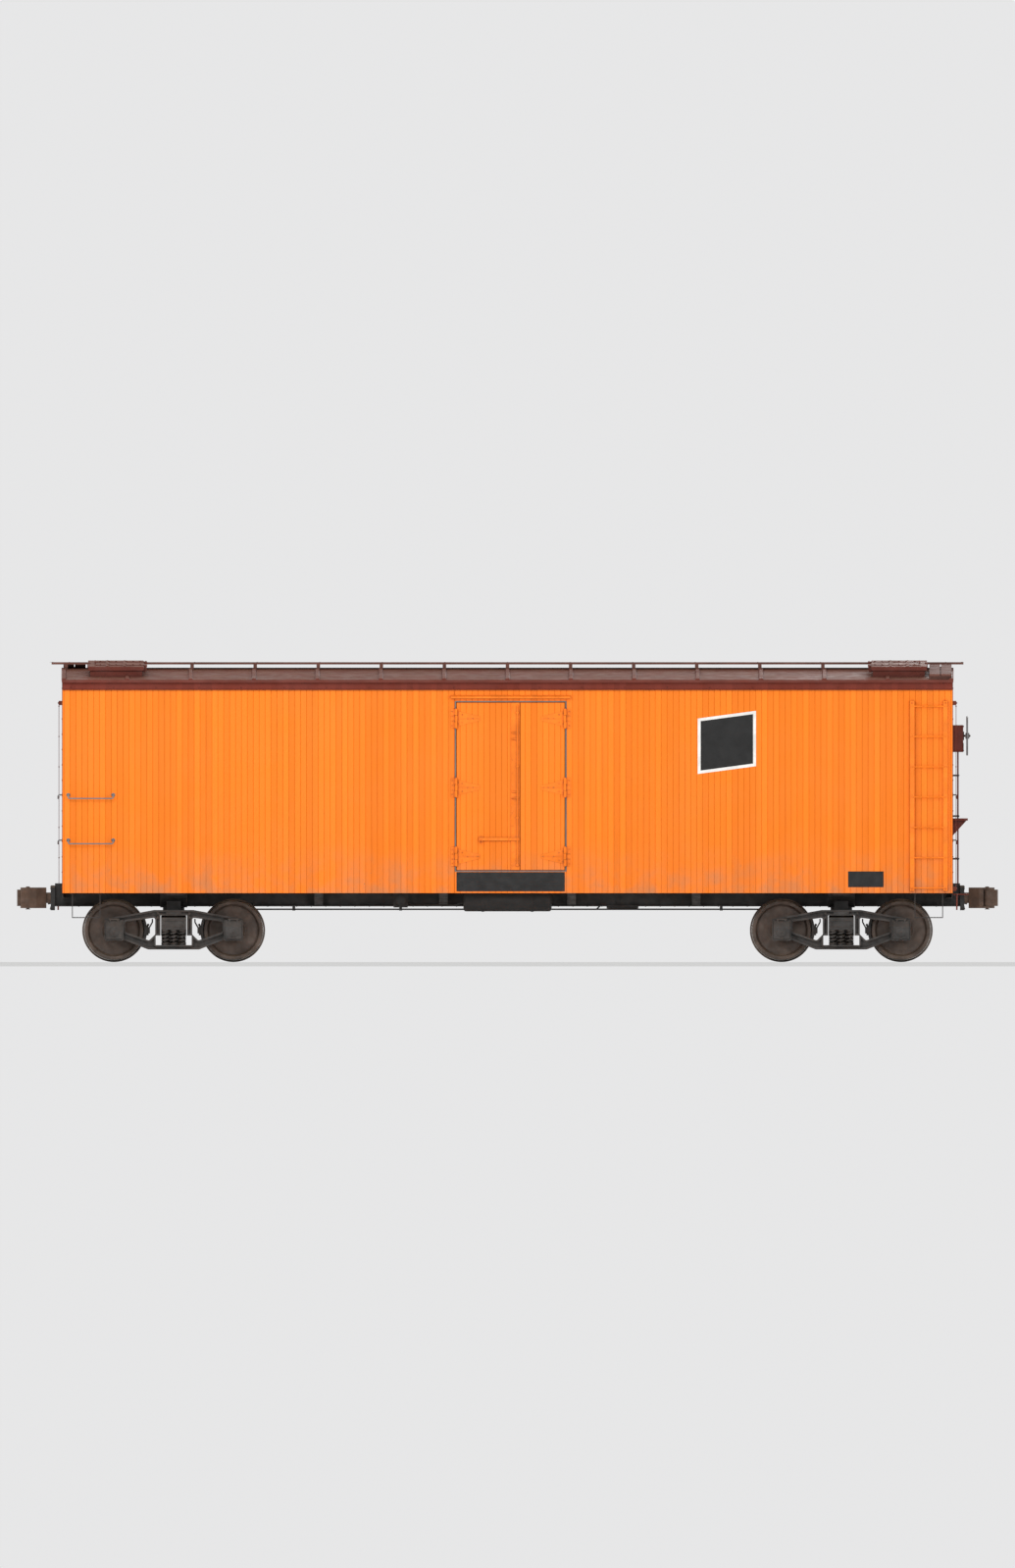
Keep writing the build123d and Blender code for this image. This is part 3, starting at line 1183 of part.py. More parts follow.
def brake_step():
    """The platform below the hand brake, on two triangular brackets."""
    z = RAIL_Z + BRAKE_STEP_ABOVE_RAIL
    y0, y1 = BRAKE_WHEEL_Y - BRAKE_STEP_L / 2, BRAKE_WHEEL_Y + BRAKE_STEP_L / 2
    step = block((HALF_L, HALF_L + BRAKE_STEP_W), (y0, y1), (z, z + PLANK_T))
    bracket = polygon([(HALF_L, z), (HALF_L + BRAKE_STEP_W - 20, z), (HALF_L, z - BRAKE_STEP_W)])
    for y in (y0 + BRAKE_BRACKET_IN, y1 - BRAKE_BRACKET_IN):
        step += across(bracket, y - STEP_BAR_T / 2, y + STEP_BAR_T / 2)
    rod_x = HALF_L + BRAKE_HOUSING_T / 2
    hole_r = BRAKE_ROD_R + BEAM_END_GAP
    return step - rod((rod_x, BRAKE_WHEEL_Y, z - 1), (rod_x, BRAKE_WHEEL_Y, z + PLANK_T + 1), hole_r)


def hung_tank(x0, x1, y, z, radius):
    """A round tank along the car with two brackets up to the floor."""
    tank = rod((x0, y, z), (x1, y, z), radius)
    tank = fillet(tank.edges().filter_by(GeomType.CIRCLE), radius / 4)
    for x in (x0 + (x1 - x0) / 4, x1 - (x1 - x0) / 4):
        tank += block(
            (x - TANK_BRACKET_T, x + TANK_BRACKET_T), (y - radius * 0.7, y + radius * 0.7), (z, FLOOR_BOTTOM_Z)
        )
    return tank


def brake_cylinder():
    return hung_tank(CYLINDER_X, CYLINDER_X + CYLINDER_L, CYLINDER_Y, CYLINDER_Z, CYLINDER_R)


def air_reservoir():
    return hung_tank(-RESERVOIR_L / 2, RESERVOIR_L / 2, RESERVOIR_Y, RESERVOIR_Z, RESERVOIR_R)


def control_valve():
    """The air brake valve: a bracket under the floor with a valve body on each face."""
    middle = VALVE_X
    half = VALVE_W / 2
    body = block((middle - half, middle + half), (RESERVOIR_Y - half, RESERVOIR_Y + half), (VALVE_Z, FLOOR_BOTTOM_Z))
    for side in (-1, 1):
        y = RESERVOIR_Y + side * half
        body += rod((middle, y - side, VALVE_Z + half), (middle, y + side * VALVE_W * 0.6, VALVE_Z + half), half * 0.7)
    return body


def train_pipe():
    """The air pipe along the car, dropping under each end sill to its angle cock."""
    end = STRIKER_X + ANGLE_COCK_OUT - ANGLE_COCK_L
    high, low = TRAIN_PIPE_Z, TRAIN_PIPE_END_Z
    x0, x1 = [STRIKER_X - back for back in TRAIN_PIPE_DROP_BACK]
    y = TRAIN_PIPE_Y
    half = [(x0, y, high), (x1, y, low), (end, y, low)]
    points = [(-x, y, z) for x, y, z in reversed(half)] + half
    return bent_rod(points, TRAIN_PIPE_R, TRAIN_PIPE_BEND)


def angle_cocks():
    """The valve on each end of the train pipe, bored right through, with a stem for its handle."""
    end = STRIKER_X + ANGLE_COCK_OUT
    y, z = TRAIN_PIPE_Y, TRAIN_PIPE_END_Z
    middle = end - ANGLE_COCK_L / 2
    cock = rod((end - ANGLE_COCK_L, y, z), (end, y, z), ANGLE_COCK_R)
    cock += rod((middle, y, z), (middle, y, z + ANGLE_COCK_STEM_H), ANGLE_COCK_STEM_R)
    cock -= rod((end - ANGLE_COCK_L - 1, y, z), (end + 1, y, z), TRAIN_PIPE_BORE_R)
    return [cock, end_mirrored(cock)]


def brake_rods():
    """The lever on the cylinder, the rods to both trucks, and the stirrups that carry them."""
    z = BRAKE_RODS_Z
    lever = block((LEVER_X - 30, LEVER_X + 30), (-90, CYLINDER_Y + 30), (z - 8, z + 8))
    rigging = lever + rod((LEVER_X, BRAKE_ROD_Y, z), (BRAKE_RODS_REACH, BRAKE_ROD_Y, z), BRAKE_ROD_R)
    rigging += rod((LEVER_X, -BRAKE_ROD_Y, z), (-BRAKE_RODS_REACH, -BRAKE_ROD_Y, z), BRAKE_ROD_R)
    push_end = (CYLINDER_X - BRAKE_ROD_R, CYLINDER_Y, CYLINDER_Z)
    rigging += rod((LEVER_X, CYLINDER_Y, z), push_end, BRAKE_ROD_R)
    half_w = SILL_FLANGE_Y - BEAM_END_GAP
    for x in STIRRUP_X:
        span = (x - 20, x + 20)
        rigging += block(span, (-half_w, half_w), (z - BRAKE_ROD_R - 8, z - BRAKE_ROD_R + 2))
        for side in (-1, 1):
            y = sorted((side * half_w, side * (half_w - 8)))
            rigging += block(span, y, (z - BRAKE_ROD_R - 8, SILL_BOTTOM_Z))
    return rigging


def uncoupling_levers():
    """The rod across half of each end that lifts the coupler's lock."""
    x = HALF_L + UNCOUPLER_OFF
    z = UNCOUPLER_Z
    outer = -(HALF_W - UNCOUPLER_IN)
    points = [
        (STRIKER_X + UNCOUPLER_OFF, UNCOUPLER_Y, z),
        (x, UNCOUPLER_Y, z),
        (x, outer, z),
        (x, outer, z - UNCOUPLER_HANDLE),
    ]
    lever = bent_rod(points, UNCOUPLER_R, 30)
    for y in (UNCOUPLER_Y - 80, outer + 80):
        lever += block((HALF_L, x), (y - 15, y + 15), (z - UNCOUPLER_R, z + UNCOUPLER_R))
    return [lever, half_turned(lever)]


# ---------------------------------------------------------------- the whole car, one file for each named piece
def write(name, shape):
    """Write one piece, or several separate solids of one kind, under its name."""
    solids = [solid for item in (shape if isinstance(shape, list) else [shape]) for solid in item.solids()]
    export_step(Compound(solids) if len(solids) > 1 else solids[0], f"parts/{name}.step")


def at_truck(shape, side):
    """Pieces drawn about a truck's own centre, moved to the A end (-1) or turned onto the B end (1)."""
    items = shape if isinstance(shape, list) else [shape]
    turn = Rot(0, 0, 180) if side < 0 else Rot(0, 0, 0)
    return [Pos(side * TRUCK_X, 0, 0) * turn * item for item in items]


def both_sides(items):
    return items + [half_turned(item) for item in items]


os.makedirs("parts", exist_ok=True)

frame_pair = both_sides([side_frame()])
spring_pair = both_sides(spring_group())
beam_pair = both_sides([brake_beam()])
one_wheelset = wheelset()
for end_name, end_side in (("a", -1), ("b", 1)):
    write(f"truck_{end_name}_side_frames", at_truck(frame_pair, end_side))
    write(f"truck_{end_name}_bolster", at_truck(truck_bolster(), end_side))
    write(f"truck_{end_name}_springs", at_truck(spring_pair, end_side))
    write(f"truck_{end_name}_brake_beams", at_truck(beam_pair, end_side))
for number, centre_x in enumerate((-TRUCK_X - WHEELBASE / 2, -TRUCK_X + WHEELBASE / 2,
                                   TRUCK_X - WHEELBASE / 2, TRUCK_X + WHEELBASE / 2), 1):
    write(f"wheelset_{number}", Pos(centre_x, 0, 0) * one_wheelset)

write("center_sill", center_sill() + strikers())
write("draft_gears", draft_gears())
write("side_sills", side_sills())
write("end_sills", end_sills())
write("body_bolsters", body_bolsters())
write("crossbearers", crossbearers())
write("floor", floor())
write("floor_racks", floor_racks())
write("end_walls", end_walls())
write("bunker_bulkheads", bulkheads())
write("fascia_boards", fascia_boards())
write("roof_middle", roof(-ROOF_SPLIT_X, ROOF_SPLIT_X, ROOF_SPLIT_X))
write("hatch_frames", hatch_frames())
write("running_boards", running_boards())
write("door_hinge_butts", hinge_butts())
write("door_hoods", door_hoods())
write("threshold_plates", threshold_plates())
write("ladders", side_ladders() + end_ladders())
write("grab_irons", grab_irons())
write("sill_steps", sill_steps())
write("hand_brake_housing", brake_housing())
write("hand_brake_wheel", brake_wheel())
write("brake_step", brake_step())
write("air_brake_equipment", [brake_cylinder(), air_reservoir(), control_valve()])
write("train_pipe", train_pipe())
write("angle_cocks", angle_cocks())
write("brake_rods", brake_rods())
write("uncoupling_levers", uncoupling_levers())

coupler_body, coupler_knuckle, end_of_roof = coupler(), knuckle(), roof_end()
covers = {"right": hatch_cover(-HATCH_Y), "left": hatch_cover(HATCH_Y)}
write("coupler_b", coupler_body)
write("coupler_a", half_turned(coupler_body))
write("knuckle_b", coupler_knuckle)
write("knuckle_a", half_turned(coupler_knuckle))
write("roof_b_end", end_of_roof)
write("roof_a_end", half_turned(end_of_roof))
for side_name, cover in covers.items():
    write(f"hatch_cover_b_{side_name}", cover)
    write(f"hatch_cover_a_{side_name}", end_mirrored(cover))

wide, narrow = leaf(DOOR_X0, DOOR_X0 + LEAF_WIDE), leaf(DOOR_X1, DOOR_X1 - LEAF_NARROW)
wide_straps, narrow_straps = strap_hinges(PIN_X0, 1), strap_hinges(PIN_X1, -1)
right_pieces = {
    "side_wall": side_wall(),
    "wide_door": wide,
    "narrow_door": narrow,
    "wide_door_hardware": wide_straps + [door_latch()],
    "narrow_door_hardware": narrow_straps,
}
for piece_name, piece in right_pieces.items():
    items = piece if isinstance(piece, list) else [piece]
    write(f"right_{piece_name}", items)
    write(f"left_{piece_name}", [half_turned(item) for item in items])
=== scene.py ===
import json
import math

import bpy
from mathutils import Matrix, Vector


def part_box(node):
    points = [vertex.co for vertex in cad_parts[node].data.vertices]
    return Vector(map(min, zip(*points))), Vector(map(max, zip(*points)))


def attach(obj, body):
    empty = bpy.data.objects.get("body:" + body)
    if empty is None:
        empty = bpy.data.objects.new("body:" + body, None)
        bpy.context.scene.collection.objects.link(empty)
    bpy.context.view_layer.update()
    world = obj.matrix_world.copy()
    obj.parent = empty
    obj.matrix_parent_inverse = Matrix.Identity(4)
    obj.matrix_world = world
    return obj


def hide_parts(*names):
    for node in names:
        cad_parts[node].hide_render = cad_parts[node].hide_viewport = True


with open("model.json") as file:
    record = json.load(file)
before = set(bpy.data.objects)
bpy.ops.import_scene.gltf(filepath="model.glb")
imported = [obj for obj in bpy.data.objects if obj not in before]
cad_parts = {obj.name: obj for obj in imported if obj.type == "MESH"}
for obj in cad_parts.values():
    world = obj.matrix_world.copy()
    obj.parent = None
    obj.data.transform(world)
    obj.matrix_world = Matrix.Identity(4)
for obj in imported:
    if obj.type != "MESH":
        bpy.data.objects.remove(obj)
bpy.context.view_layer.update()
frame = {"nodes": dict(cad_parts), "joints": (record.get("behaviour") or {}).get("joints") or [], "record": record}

# Looks of a wooden-sided ice refrigerator car. Metres, in the frame of the CAD model: X along the car, Z up.
BODY = "car_body"


def box_of(node):
    low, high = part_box(node)
    return Vector(low), Vector(high)


side_low, side_high = box_of("right_side_wall")
fascia_low, fascia_high = box_of("fascia_boards")
threshold_low, threshold_high = box_of("threshold_plates")
roof_high = box_of("roof_middle")[1]
end_low, end_high = box_of("end_walls")
HALF_L = side_high.x
HALF_W = -side_low.y
SIDE_BOTTOM = side_low.z
WALL_TOP = fascia_low.z
EAVE_Y = roof_high.y
RIDGE_Z = roof_high.z
EAVE_Z = fascia_high.z + 0.018
WHEEL = {n: box_of(f"wheelset_{n}") for n in (1, 2, 3, 4)}
AXLE_Z = (WHEEL[1][0].z + WHEEL[1][1].z) / 2
RAIL_Z = 0.026
COUPLER_Z = 0.902

UP, DOWN = (0, 0, 1), (0, 0, -1)
OUT = (0, -1, 0)  # away from the right side
AHEAD = (1, 0, 0)
HALF_TURN = Matrix.Rotation(math.pi, 4, "Z")
MIRROR_Z = Matrix.Scale(-1, 4, UP)
SIDES = (("right", Matrix()), ("left", HALF_TURN))  # the left side is the right side turned about the vertical
ENDS = (("b", Matrix()), ("a", HALF_TURN))


def spread(start, stop, count):
    """Evenly spaced values from start to stop."""
    return [start + k * (stop - start) / (count - 1) for k in range(count)]


# ------------------------------------------------------------------ mesh building
class Shape:
    """Collects many small solids into one mesh."""

    def __init__(self):
        self.points = []
        self.faces = []

    def add(self, points, faces, place=None):
        start = len(self.points)
        flip = place is not None and place.determinant() < 0
        for point in points:
            self.points.append(place @ Vector(point) if place is not None else Vector(point))
        for face in faces:
            ring = [start + i for i in face]
            self.faces.append(ring[::-1] if flip else ring)

    def prism(self, outline, length, place):
        """A flat outline in local X and Y, pulled along local Z from 0 to length."""
        count = len(outline)
        points = [(x, y, 0) for x, y in outline] + [(x, y, length) for x, y in outline]
        faces = [list(range(count))[::-1], list(range(count, 2 * count))]
        faces += [[i, (i + 1) % count, count + (i + 1) % count, count + i] for i in range(count)]
        self.add(points, faces, place)

    def box(self, low, high, bevel=0.0, place=None):
        """A box with its edges bevelled."""
        low, high = Vector(low), Vector(high)
        b = min(bevel, min(high - low) * 0.45)
        if b <= 0:
            xs, ys, zs = zip(low, high)
            points = [(x, y, z) for z in zs for y in ys for x in xs]
            faces = [(0, 2, 3, 1), (4, 5, 7, 6), (0, 1, 5, 4), (2, 6, 7, 3), (0, 4, 6, 2), (1, 3, 7, 5)]
            self.add(points, faces, place)
            return
        index, points = {}, []
        for cx in (0, 1):
            for cy in (0, 1):
                for cz in (0, 1):
                    corner = [(low, high)[c][k] for k, c in enumerate((cx, cy, cz))]
                    sign = [1 if c == 0 else -1 for c in (cx, cy, cz)]
                    for axis in range(3):
                        point = [corner[k] + (0 if k == axis else sign[k] * b) for k in range(3)]
                        index[(cx, cy, cz, axis)] = len(points)
                        points.append(point)
        faces = []
        for axis in range(3):
            u, v = [k for k in range(3) if k != axis]
            for end in (0, 1):
                ring = []
                for cu, cv in ((0, 0), (1, 0), (1, 1), (0, 1)):
                    key = [0, 0, 0]
                    key[axis], key[u], key[v] = end, cu, cv
                    ring.append(index[(*key, axis)])
                outward = (end == 1) == (axis != 1)
                faces.append(ring if outward else ring[::-1])
        middle = (low + high) / 2
        for axis in range(3):
            u, v = [k for k in range(3) if k != axis]
            for cu in (0, 1):
                for cv in (0, 1):
                    ring = []
                    for end, which in ((0, u), (1, u), (1, v), (0, v)):
                        key = [0, 0, 0]
                        key[axis], key[u], key[v] = end, cu, cv
                        ring.append(index[(*key, which)])
                    faces.append(self.facing_out(ring, points, middle))
        for cx in (0, 1):
            for cy in (0, 1):
                for cz in (0, 1):
                    ring = [index[(cx, cy, cz, axis)] for axis in range(3)]
                    faces.append(self.facing_out(ring, points, middle))
        self.add(points, faces, place)

    @staticmethod
    def facing_out(ring, points, middle):
        a, b, c = (Vector(points[i]) for i in ring[:3])
        normal = (b - a).cross(c - a)
        return ring if normal.dot((a + b + c) / 3 - middle) > 0 else ring[::-1]

    def turned_profile(self, profile, place, sides=24):
        """A closed solid of revolution about local Z. The profile is (radius, z), and its ends lie on the axis."""
        points, rings = [], []
        for radius, z in profile:
            if radius < 1e-6:
                rings.append([len(points)])
                points.append((0, 0, z))
            else:
                start = len(points)
                rings.append(list(range(start, start + sides)))
                for i in range(sides):
                    a = 2 * math.pi * i / sides
                    points.append((radius * math.cos(a), radius * math.sin(a), z))
        faces = []
        for near, far in zip(rings, rings[1:]):
            for i in range(sides):
                j = (i + 1) % sides
                if len(near) == 1 and len(far) > 1:
                    faces.append([near[0], far[j], far[i]])
                elif len(far) == 1 and len(near) > 1:
                    faces.append([near[i], near[j], far[0]])
                elif len(near) > 1:
                    faces.append([near[i], near[j], far[j], far[i]])
        self.add(points, faces, place)

    def ring(self, profile, place, sides=48):
        """A closed ring about local Z. The profile is a closed loop of (radius, z), from the outside over the top."""
        count = len(profile)
        points = []
        for i in range(sides):
            a = 2 * math.pi * i / sides
            points += [(r * math.cos(a), r * math.sin(a), z) for r, z in profile]
        area = sum(profile[k - 1][0] * profile[k][1] - profile[k][0] * profile[k - 1][1] for k in range(count))
        faces = []
        for i in range(sides):
            j = (i + 1) % sides
            for k in range(count):
                n = (k + 1) % count
                ring = [i * count + k, j * count + k, j * count + n, i * count + n]
                faces.append(ring if area > 0 else ring[::-1])
        self.add(points, faces, place)

    def tube(self, path, radius, sides=8, closed=False, place=None):
        """A round bar along a list of points."""
        path = [Vector(p) for p in path]
        count = len(path)
        points, normal = [], None
        for k, here in enumerate(path):
            ahead = path[(k + 1) % count] if closed or k < count - 1 else here
            behind = path[k - 1] if closed or k > 0 else here
            direction = (ahead - behind).normalized()
            if normal is None:
                normal = direction.orthogonal().normalized()
            normal = (normal - direction * normal.dot(direction)).normalized()
            other = direction.cross(normal)
            for i in range(sides):
                a = 2 * math.pi * i / sides
                points.append(here + radius * (math.cos(a) * normal + math.sin(a) * other))
        faces = []
        spans = count if closed else count - 1
        for k in range(spans):
            n = (k + 1) % count
            for i in range(sides):
                j = (i + 1) % sides
                faces.append([k * sides + i, k * sides + j, n * sides + j, n * sides + i])
        if not closed:
            faces.append(list(range(sides))[::-1])
            faces.append([(count - 1) * sides + i for i in range(sides)])
        self.add(points, faces, place)

    def make(self, name, body, material, slot, smooth_angle=35):
        mesh = bpy.data.meshes.new(name)
        mesh.from_pydata([tuple(p) for p in self.points], [], self.faces)
        mesh.validate()
        mesh.polygons.foreach_set("use_smooth", [True] * len(mesh.polygons))
        mesh.set_sharp_from_angle(angle=math.radians(smooth_angle))
        mesh.materials.append(material)
        piece = bpy.data.objects.new(name, mesh)
        bpy.context.collection.objects.link(piece)
        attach(piece, body)
        return piece


def facing(point, normal, spin=0.0):
    """A frame at a point with its Z along the normal."""
    turn = Vector(normal).to_track_quat("Z", "Y").to_matrix().to_4x4()
    return Matrix.Translation(Vector(point)) @ turn @ Matrix.Rotation(spin, 4, "Z")


def rivet(shape, point, normal, radius=0.011, place=None):
    """A low round head."""
    at = facing(point, normal)
    edge = [(radius, -0.001), (radius * 0.92, radius * 0.3), (radius * 0.55, radius * 0.55)]
    profile = [(0, -0.001), *edge, (0, radius * 0.62)]
    shape.turned_profile(profile, at if place is None else place @ at, 10)


def bolt(shape, point, normal, radius=0.013, place=None, spin=0.3):
    """A round washer with a hexagon nut and the bolt's end."""
    at = facing(point, normal, spin)
    at = at if place is None else place @ at
    shape.turned_profile([(0, -0.001), (radius * 1.45, -0.001), (radius * 1.45, 0.002), (0, 0.002)], at, 14)
    nut = [(0, 0.0015), (radius, 0.0015), (radius, radius * 0.6), (radius * 0.86, radius * 0.78), (0, radius * 0.78)]
    shape.turned_profile(nut, at, 6)
    shape.turned_profile([(0, 0), (radius * 0.5, 0), (radius * 0.5, radius * 1.1), (0, radius * 1.2)], at, 10)


# ------------------------------------------------------------------ materials
class Nodes:
    """A short way to write a material's nodes."""

    def __init__(self, name):
        self.material = bpy.data.materials.new(name)
        self.material.use_nodes = True
        self.tree = self.material.node_tree
        self.shader = self.tree.nodes["Principled BSDF"]
        self.place = self.new("ShaderNodeTexCoord").outputs["Object"]

    def new(self, kind, **settings):
        node = self.tree.nodes.new(kind)
        for key, value in settings.items():
            setattr(node, key, value)
        return node

    def link(self, source, target):
        if isinstance(source, (int, float, tuple)):
            target.default_value = source
        else:
            self.tree.links.new(source, target)

    def scaled(self, scale):
        node = self.new("ShaderNodeMapping")
        node.inputs["Scale"].default_value = scale
        self.link(self.place, node.inputs["Vector"])
        return node.outputs["Vector"]

    def noise(self, scale, detail=4.0, stretch=(1, 1, 1), rough=0.55):
        node = self.new("ShaderNodeTexNoise")
        self.link(self.scaled(stretch), node.inputs["Vector"])
        node.inputs["Scale"].default_value = scale
        node.inputs["Detail"].default_value = detail
        node.inputs["Roughness"].default_value = rough
        return node.outputs["Fac"]

    def ramp(self, value, low, high, out_low=0.0, out_high=1.0):
        node = self.new("ShaderNodeMapRange", interpolation_type="SMOOTHSTEP")
        self.link(value, node.inputs["Value"])
        for key, number in (("From Min", low), ("From Max", high), ("To Min", out_low), ("To Max", out_high)):
            node.inputs[key].default_value = number
        return node.outputs["Result"]

    def math(self, operation, a, b=0.0, c=0.0):
        node = self.new("ShaderNodeMath", operation=operation)
        for socket, value in zip(node.inputs, (a, b, c)):
            self.link(value, socket)
        return node.outputs["Value"]

    def mix(self, factor, a, b):
        node = self.new("ShaderNodeMix", data_type="RGBA")
        self.link(factor, node.inputs["Factor"])
        for socket, value in ((node.inputs["A"], a), (node.inputs["B"], b)):
            self.link(value if not isinstance(value, tuple) else (*value[:3], 1.0), socket)
        return node.outputs["Result"]

    def axis(self, name):
        node = self.new("ShaderNodeSeparateXYZ")
        self.link(self.place, node.inputs["Vector"])
        return node.outputs[name]

    def up_facing(self):
        geometry = self.new("ShaderNodeNewGeometry")
        node = self.new("ShaderNodeSeparateXYZ")
        self.link(geometry.outputs["Normal"], node.inputs["Vector"])
        return self.ramp(node.outputs["Z"], 0.35, 0.95)

    # A mask for painted shade: high where ambient occlusion finds crevices and corners, where the materials darken
    # their own colour.
    def painted_crevice_shade(self, distance=0.06):
        node = self.new("ShaderNodeAmbientOcclusion", samples=6)
        node.inputs["Distance"].default_value = distance
        return self.ramp(node.outputs["AO"], 0.35, 0.95, 1.0, 0.0)

    def edge(self, radius=0.006):
        bevel = self.new("ShaderNodeBevel", samples=4)
        bevel.inputs["Radius"].default_value = radius
        geometry = self.new("ShaderNodeNewGeometry")
        dot = self.new("ShaderNodeVectorMath", operation="DOT_PRODUCT")
        self.link(bevel.outputs["Normal"], dot.inputs[0])
        self.link(geometry.outputs["Normal"], dot.inputs[1])
        return self.ramp(dot.outputs["Value"], 0.90, 0.985, 1.0, 0.0)

    def bump(self, height, strength, distance=0.002):
        node = self.new("ShaderNodeBump")
        node.inputs["Strength"].default_value = strength
        node.inputs["Distance"].default_value = distance
        self.link(height, node.inputs["Height"])
        self.link(node.outputs["Normal"], self.shader.inputs["Normal"])

    def finish(self, colour, rough, metallic=0.0, shine=0.5):
        self.shader.inputs["Specular IOR Level"].default_value = shine
        self.link(colour, self.shader.inputs["Base Color"])
        self.link(rough, self.shader.inputs["Roughness"])
        self.shader.inputs["Metallic"].default_value = metallic
        return self.material


BOARD = 0.083  # width of a sheathing board
ORANGE = (0.93, 0.205, 0.004)
RED_BROWN = (0.150, 0.024, 0.012)
DUST = (0.30, 0.21, 0.13)
RUST = (0.16, 0.055, 0.02)


def painted_boards(name, colour, axis="X", dust=0.5, rough=0.48):
    """Paint on upright tongue and groove boards: each board a little different, grain, rain streaks and road dust."""
    n = Nodes(name)
    board = n.math("FLOOR", n.math("DIVIDE", n.axis(axis), BOARD))
    pick = n.new("ShaderNodeTexWhiteNoise", noise_dimensions="1D")
    n.link(board, pick.inputs["W"])
    dark = tuple(c * 0.86 for c in colour)
    light = tuple(min(1.0, c * 1.06 + 0.004) for c in colour)
    base = n.mix(pick.outputs["Value"], dark, light)
    fade = n.ramp(n.noise(0.7, 3.0), 0.35, 0.7)
    base = n.mix(n.math("MULTIPLY", fade, 0.35), base, tuple(c * 0.92 + 0.012 for c in colour))
    streak = n.ramp(n.noise(1.0, 5.0, (26, 26, 0.55)), 0.52, 0.78)
    base = n.mix(n.math("MULTIPLY", streak, 0.16), base, tuple(c * 0.45 for c in colour))
    low = n.ramp(n.axis("Z"), SIDE_BOTTOM - 0.05, SIDE_BOTTOM + 0.75, 1.0, 0.0)
    patch = n.ramp(n.noise(3.0, 6.0), 0.35, 0.75)
    dirt = n.math("MULTIPLY", n.math("MULTIPLY", low, patch), dust)
    base = n.mix(dirt, base, DUST)
    # Painted shade: the board colour darkened to a quarter in crevices and corners.
    base = n.mix(n.math("MULTIPLY", n.painted_crevice_shade(0.03), 0.55), base, tuple(c * 0.25 for c in colour))
    chip = n.ramp(n.noise(38.0, 5.0, (1, 1, 0.35)), 0.70, 0.74)
    base = n.mix(n.math("MULTIPLY", chip, n.math("MULTIPLY", low, 0.75)), base, (0.20, 0.14, 0.09))
    grain = n.noise(1.0, 6.0, (90, 90, 3.0))
    n.bump(grain, 0.28, 0.0012)
    gloss = n.ramp(n.noise(2.3, 4.0), 0.3, 0.7, rough - 0.07, rough + 0.12)
    return n.finish(base, gloss, shine=0.25)


def painted_steel(name, colour, dust=0.35, rust=0.5, rough=0.45, scale=1.0, beyond_end=None):
    """Paint on steel: painted shade in the corners, rust and bare metal on the edges, dust on what faces up.

    Where beyond_end is given, what stands off the ends of the car is painted that colour.
    """
    n = Nodes(name)
    blotch = n.ramp(n.noise(4.0 * scale, 5.0), 0.35, 0.7)
    base = n.mix(blotch, tuple(c * 0.86 for c in colour), tuple(min(1.0, c * 1.07 + 0.003) for c in colour))
    if beyond_end:
        off_end = n.math("GREATER_THAN", n.math("ABSOLUTE", n.axis("X")), HALF_L - 0.0005)
        base = n.mix(off_end, base, beyond_end)
    # Painted shade: the paint colour darkened in crevices and corners.
    base = n.mix(n.math("MULTIPLY", n.painted_crevice_shade(0.05), 0.6), base, tuple(c * 0.28 + 0.004 for c in colour))
    speck = n.ramp(n.noise(34.0 * scale, 6.0), 0.60, 0.70)
    worn = n.math("MULTIPLY", n.edge(0.005), n.ramp(n.noise(18.0 * scale, 5.0), 0.42, 0.62))
    base = n.mix(n.math("MULTIPLY", n.math("MAXIMUM", worn, n.math("MULTIPLY", speck, 0.35)), rust), base, RUST)
    dusty = n.math("MULTIPLY", n.up_facing(), n.ramp(n.noise(6.0, 4.0), 0.3, 0.7, 0.4, 1.0))
    base = n.mix(n.math("MULTIPLY", dusty, dust), base, DUST)
    n.bump(n.noise(60.0 * scale, 5.0), 0.22, 0.001)
    gloss = n.ramp(n.noise(9.0 * scale, 4.0), 0.3, 0.7, rough - 0.08, rough + 0.18)
    return n.finish(base, gloss, shine=0.3)


def casting(name, colour, dust=0.55, rough=0.62):
    """A rough black or brown casting under brake dust."""
    n = Nodes(name)
    blotch = n.ramp(n.noise(5.0, 6.0), 0.35, 0.7)
    base = n.mix(blotch, tuple(c * 0.7 for c in colour), tuple(c * 1.35 + 0.004 for c in colour))
    film = n.ramp(n.noise(2.2, 5.0), 0.35, 0.75)
    base = n.mix(n.math("MULTIPLY", film, dust * 0.45), base, (0.10, 0.062, 0.038))
    base = n.mix(n.math("MULTIPLY", n.up_facing(), dust), base, (0.20, 0.14, 0.09))
    # Painted shade: near black in crevices and corners.
    base = n.mix(n.math("MULTIPLY", n.painted_crevice_shade(0.07), 0.6), base, (0.008, 0.007, 0.006))
    worn = n.math("MULTIPLY", n.edge(0.006), n.ramp(n.noise(15.0, 5.0), 0.4, 0.65))
    base = n.mix(n.math("MULTIPLY", worn, 0.5), base, (0.13, 0.085, 0.06))
    n.bump(n.noise(140.0, 4.0), 0.4, 0.0012)
    return n.finish(base, n.ramp(n.noise(12.0, 4.0), 0.3, 0.7, rough - 0.1, rough + 0.15))


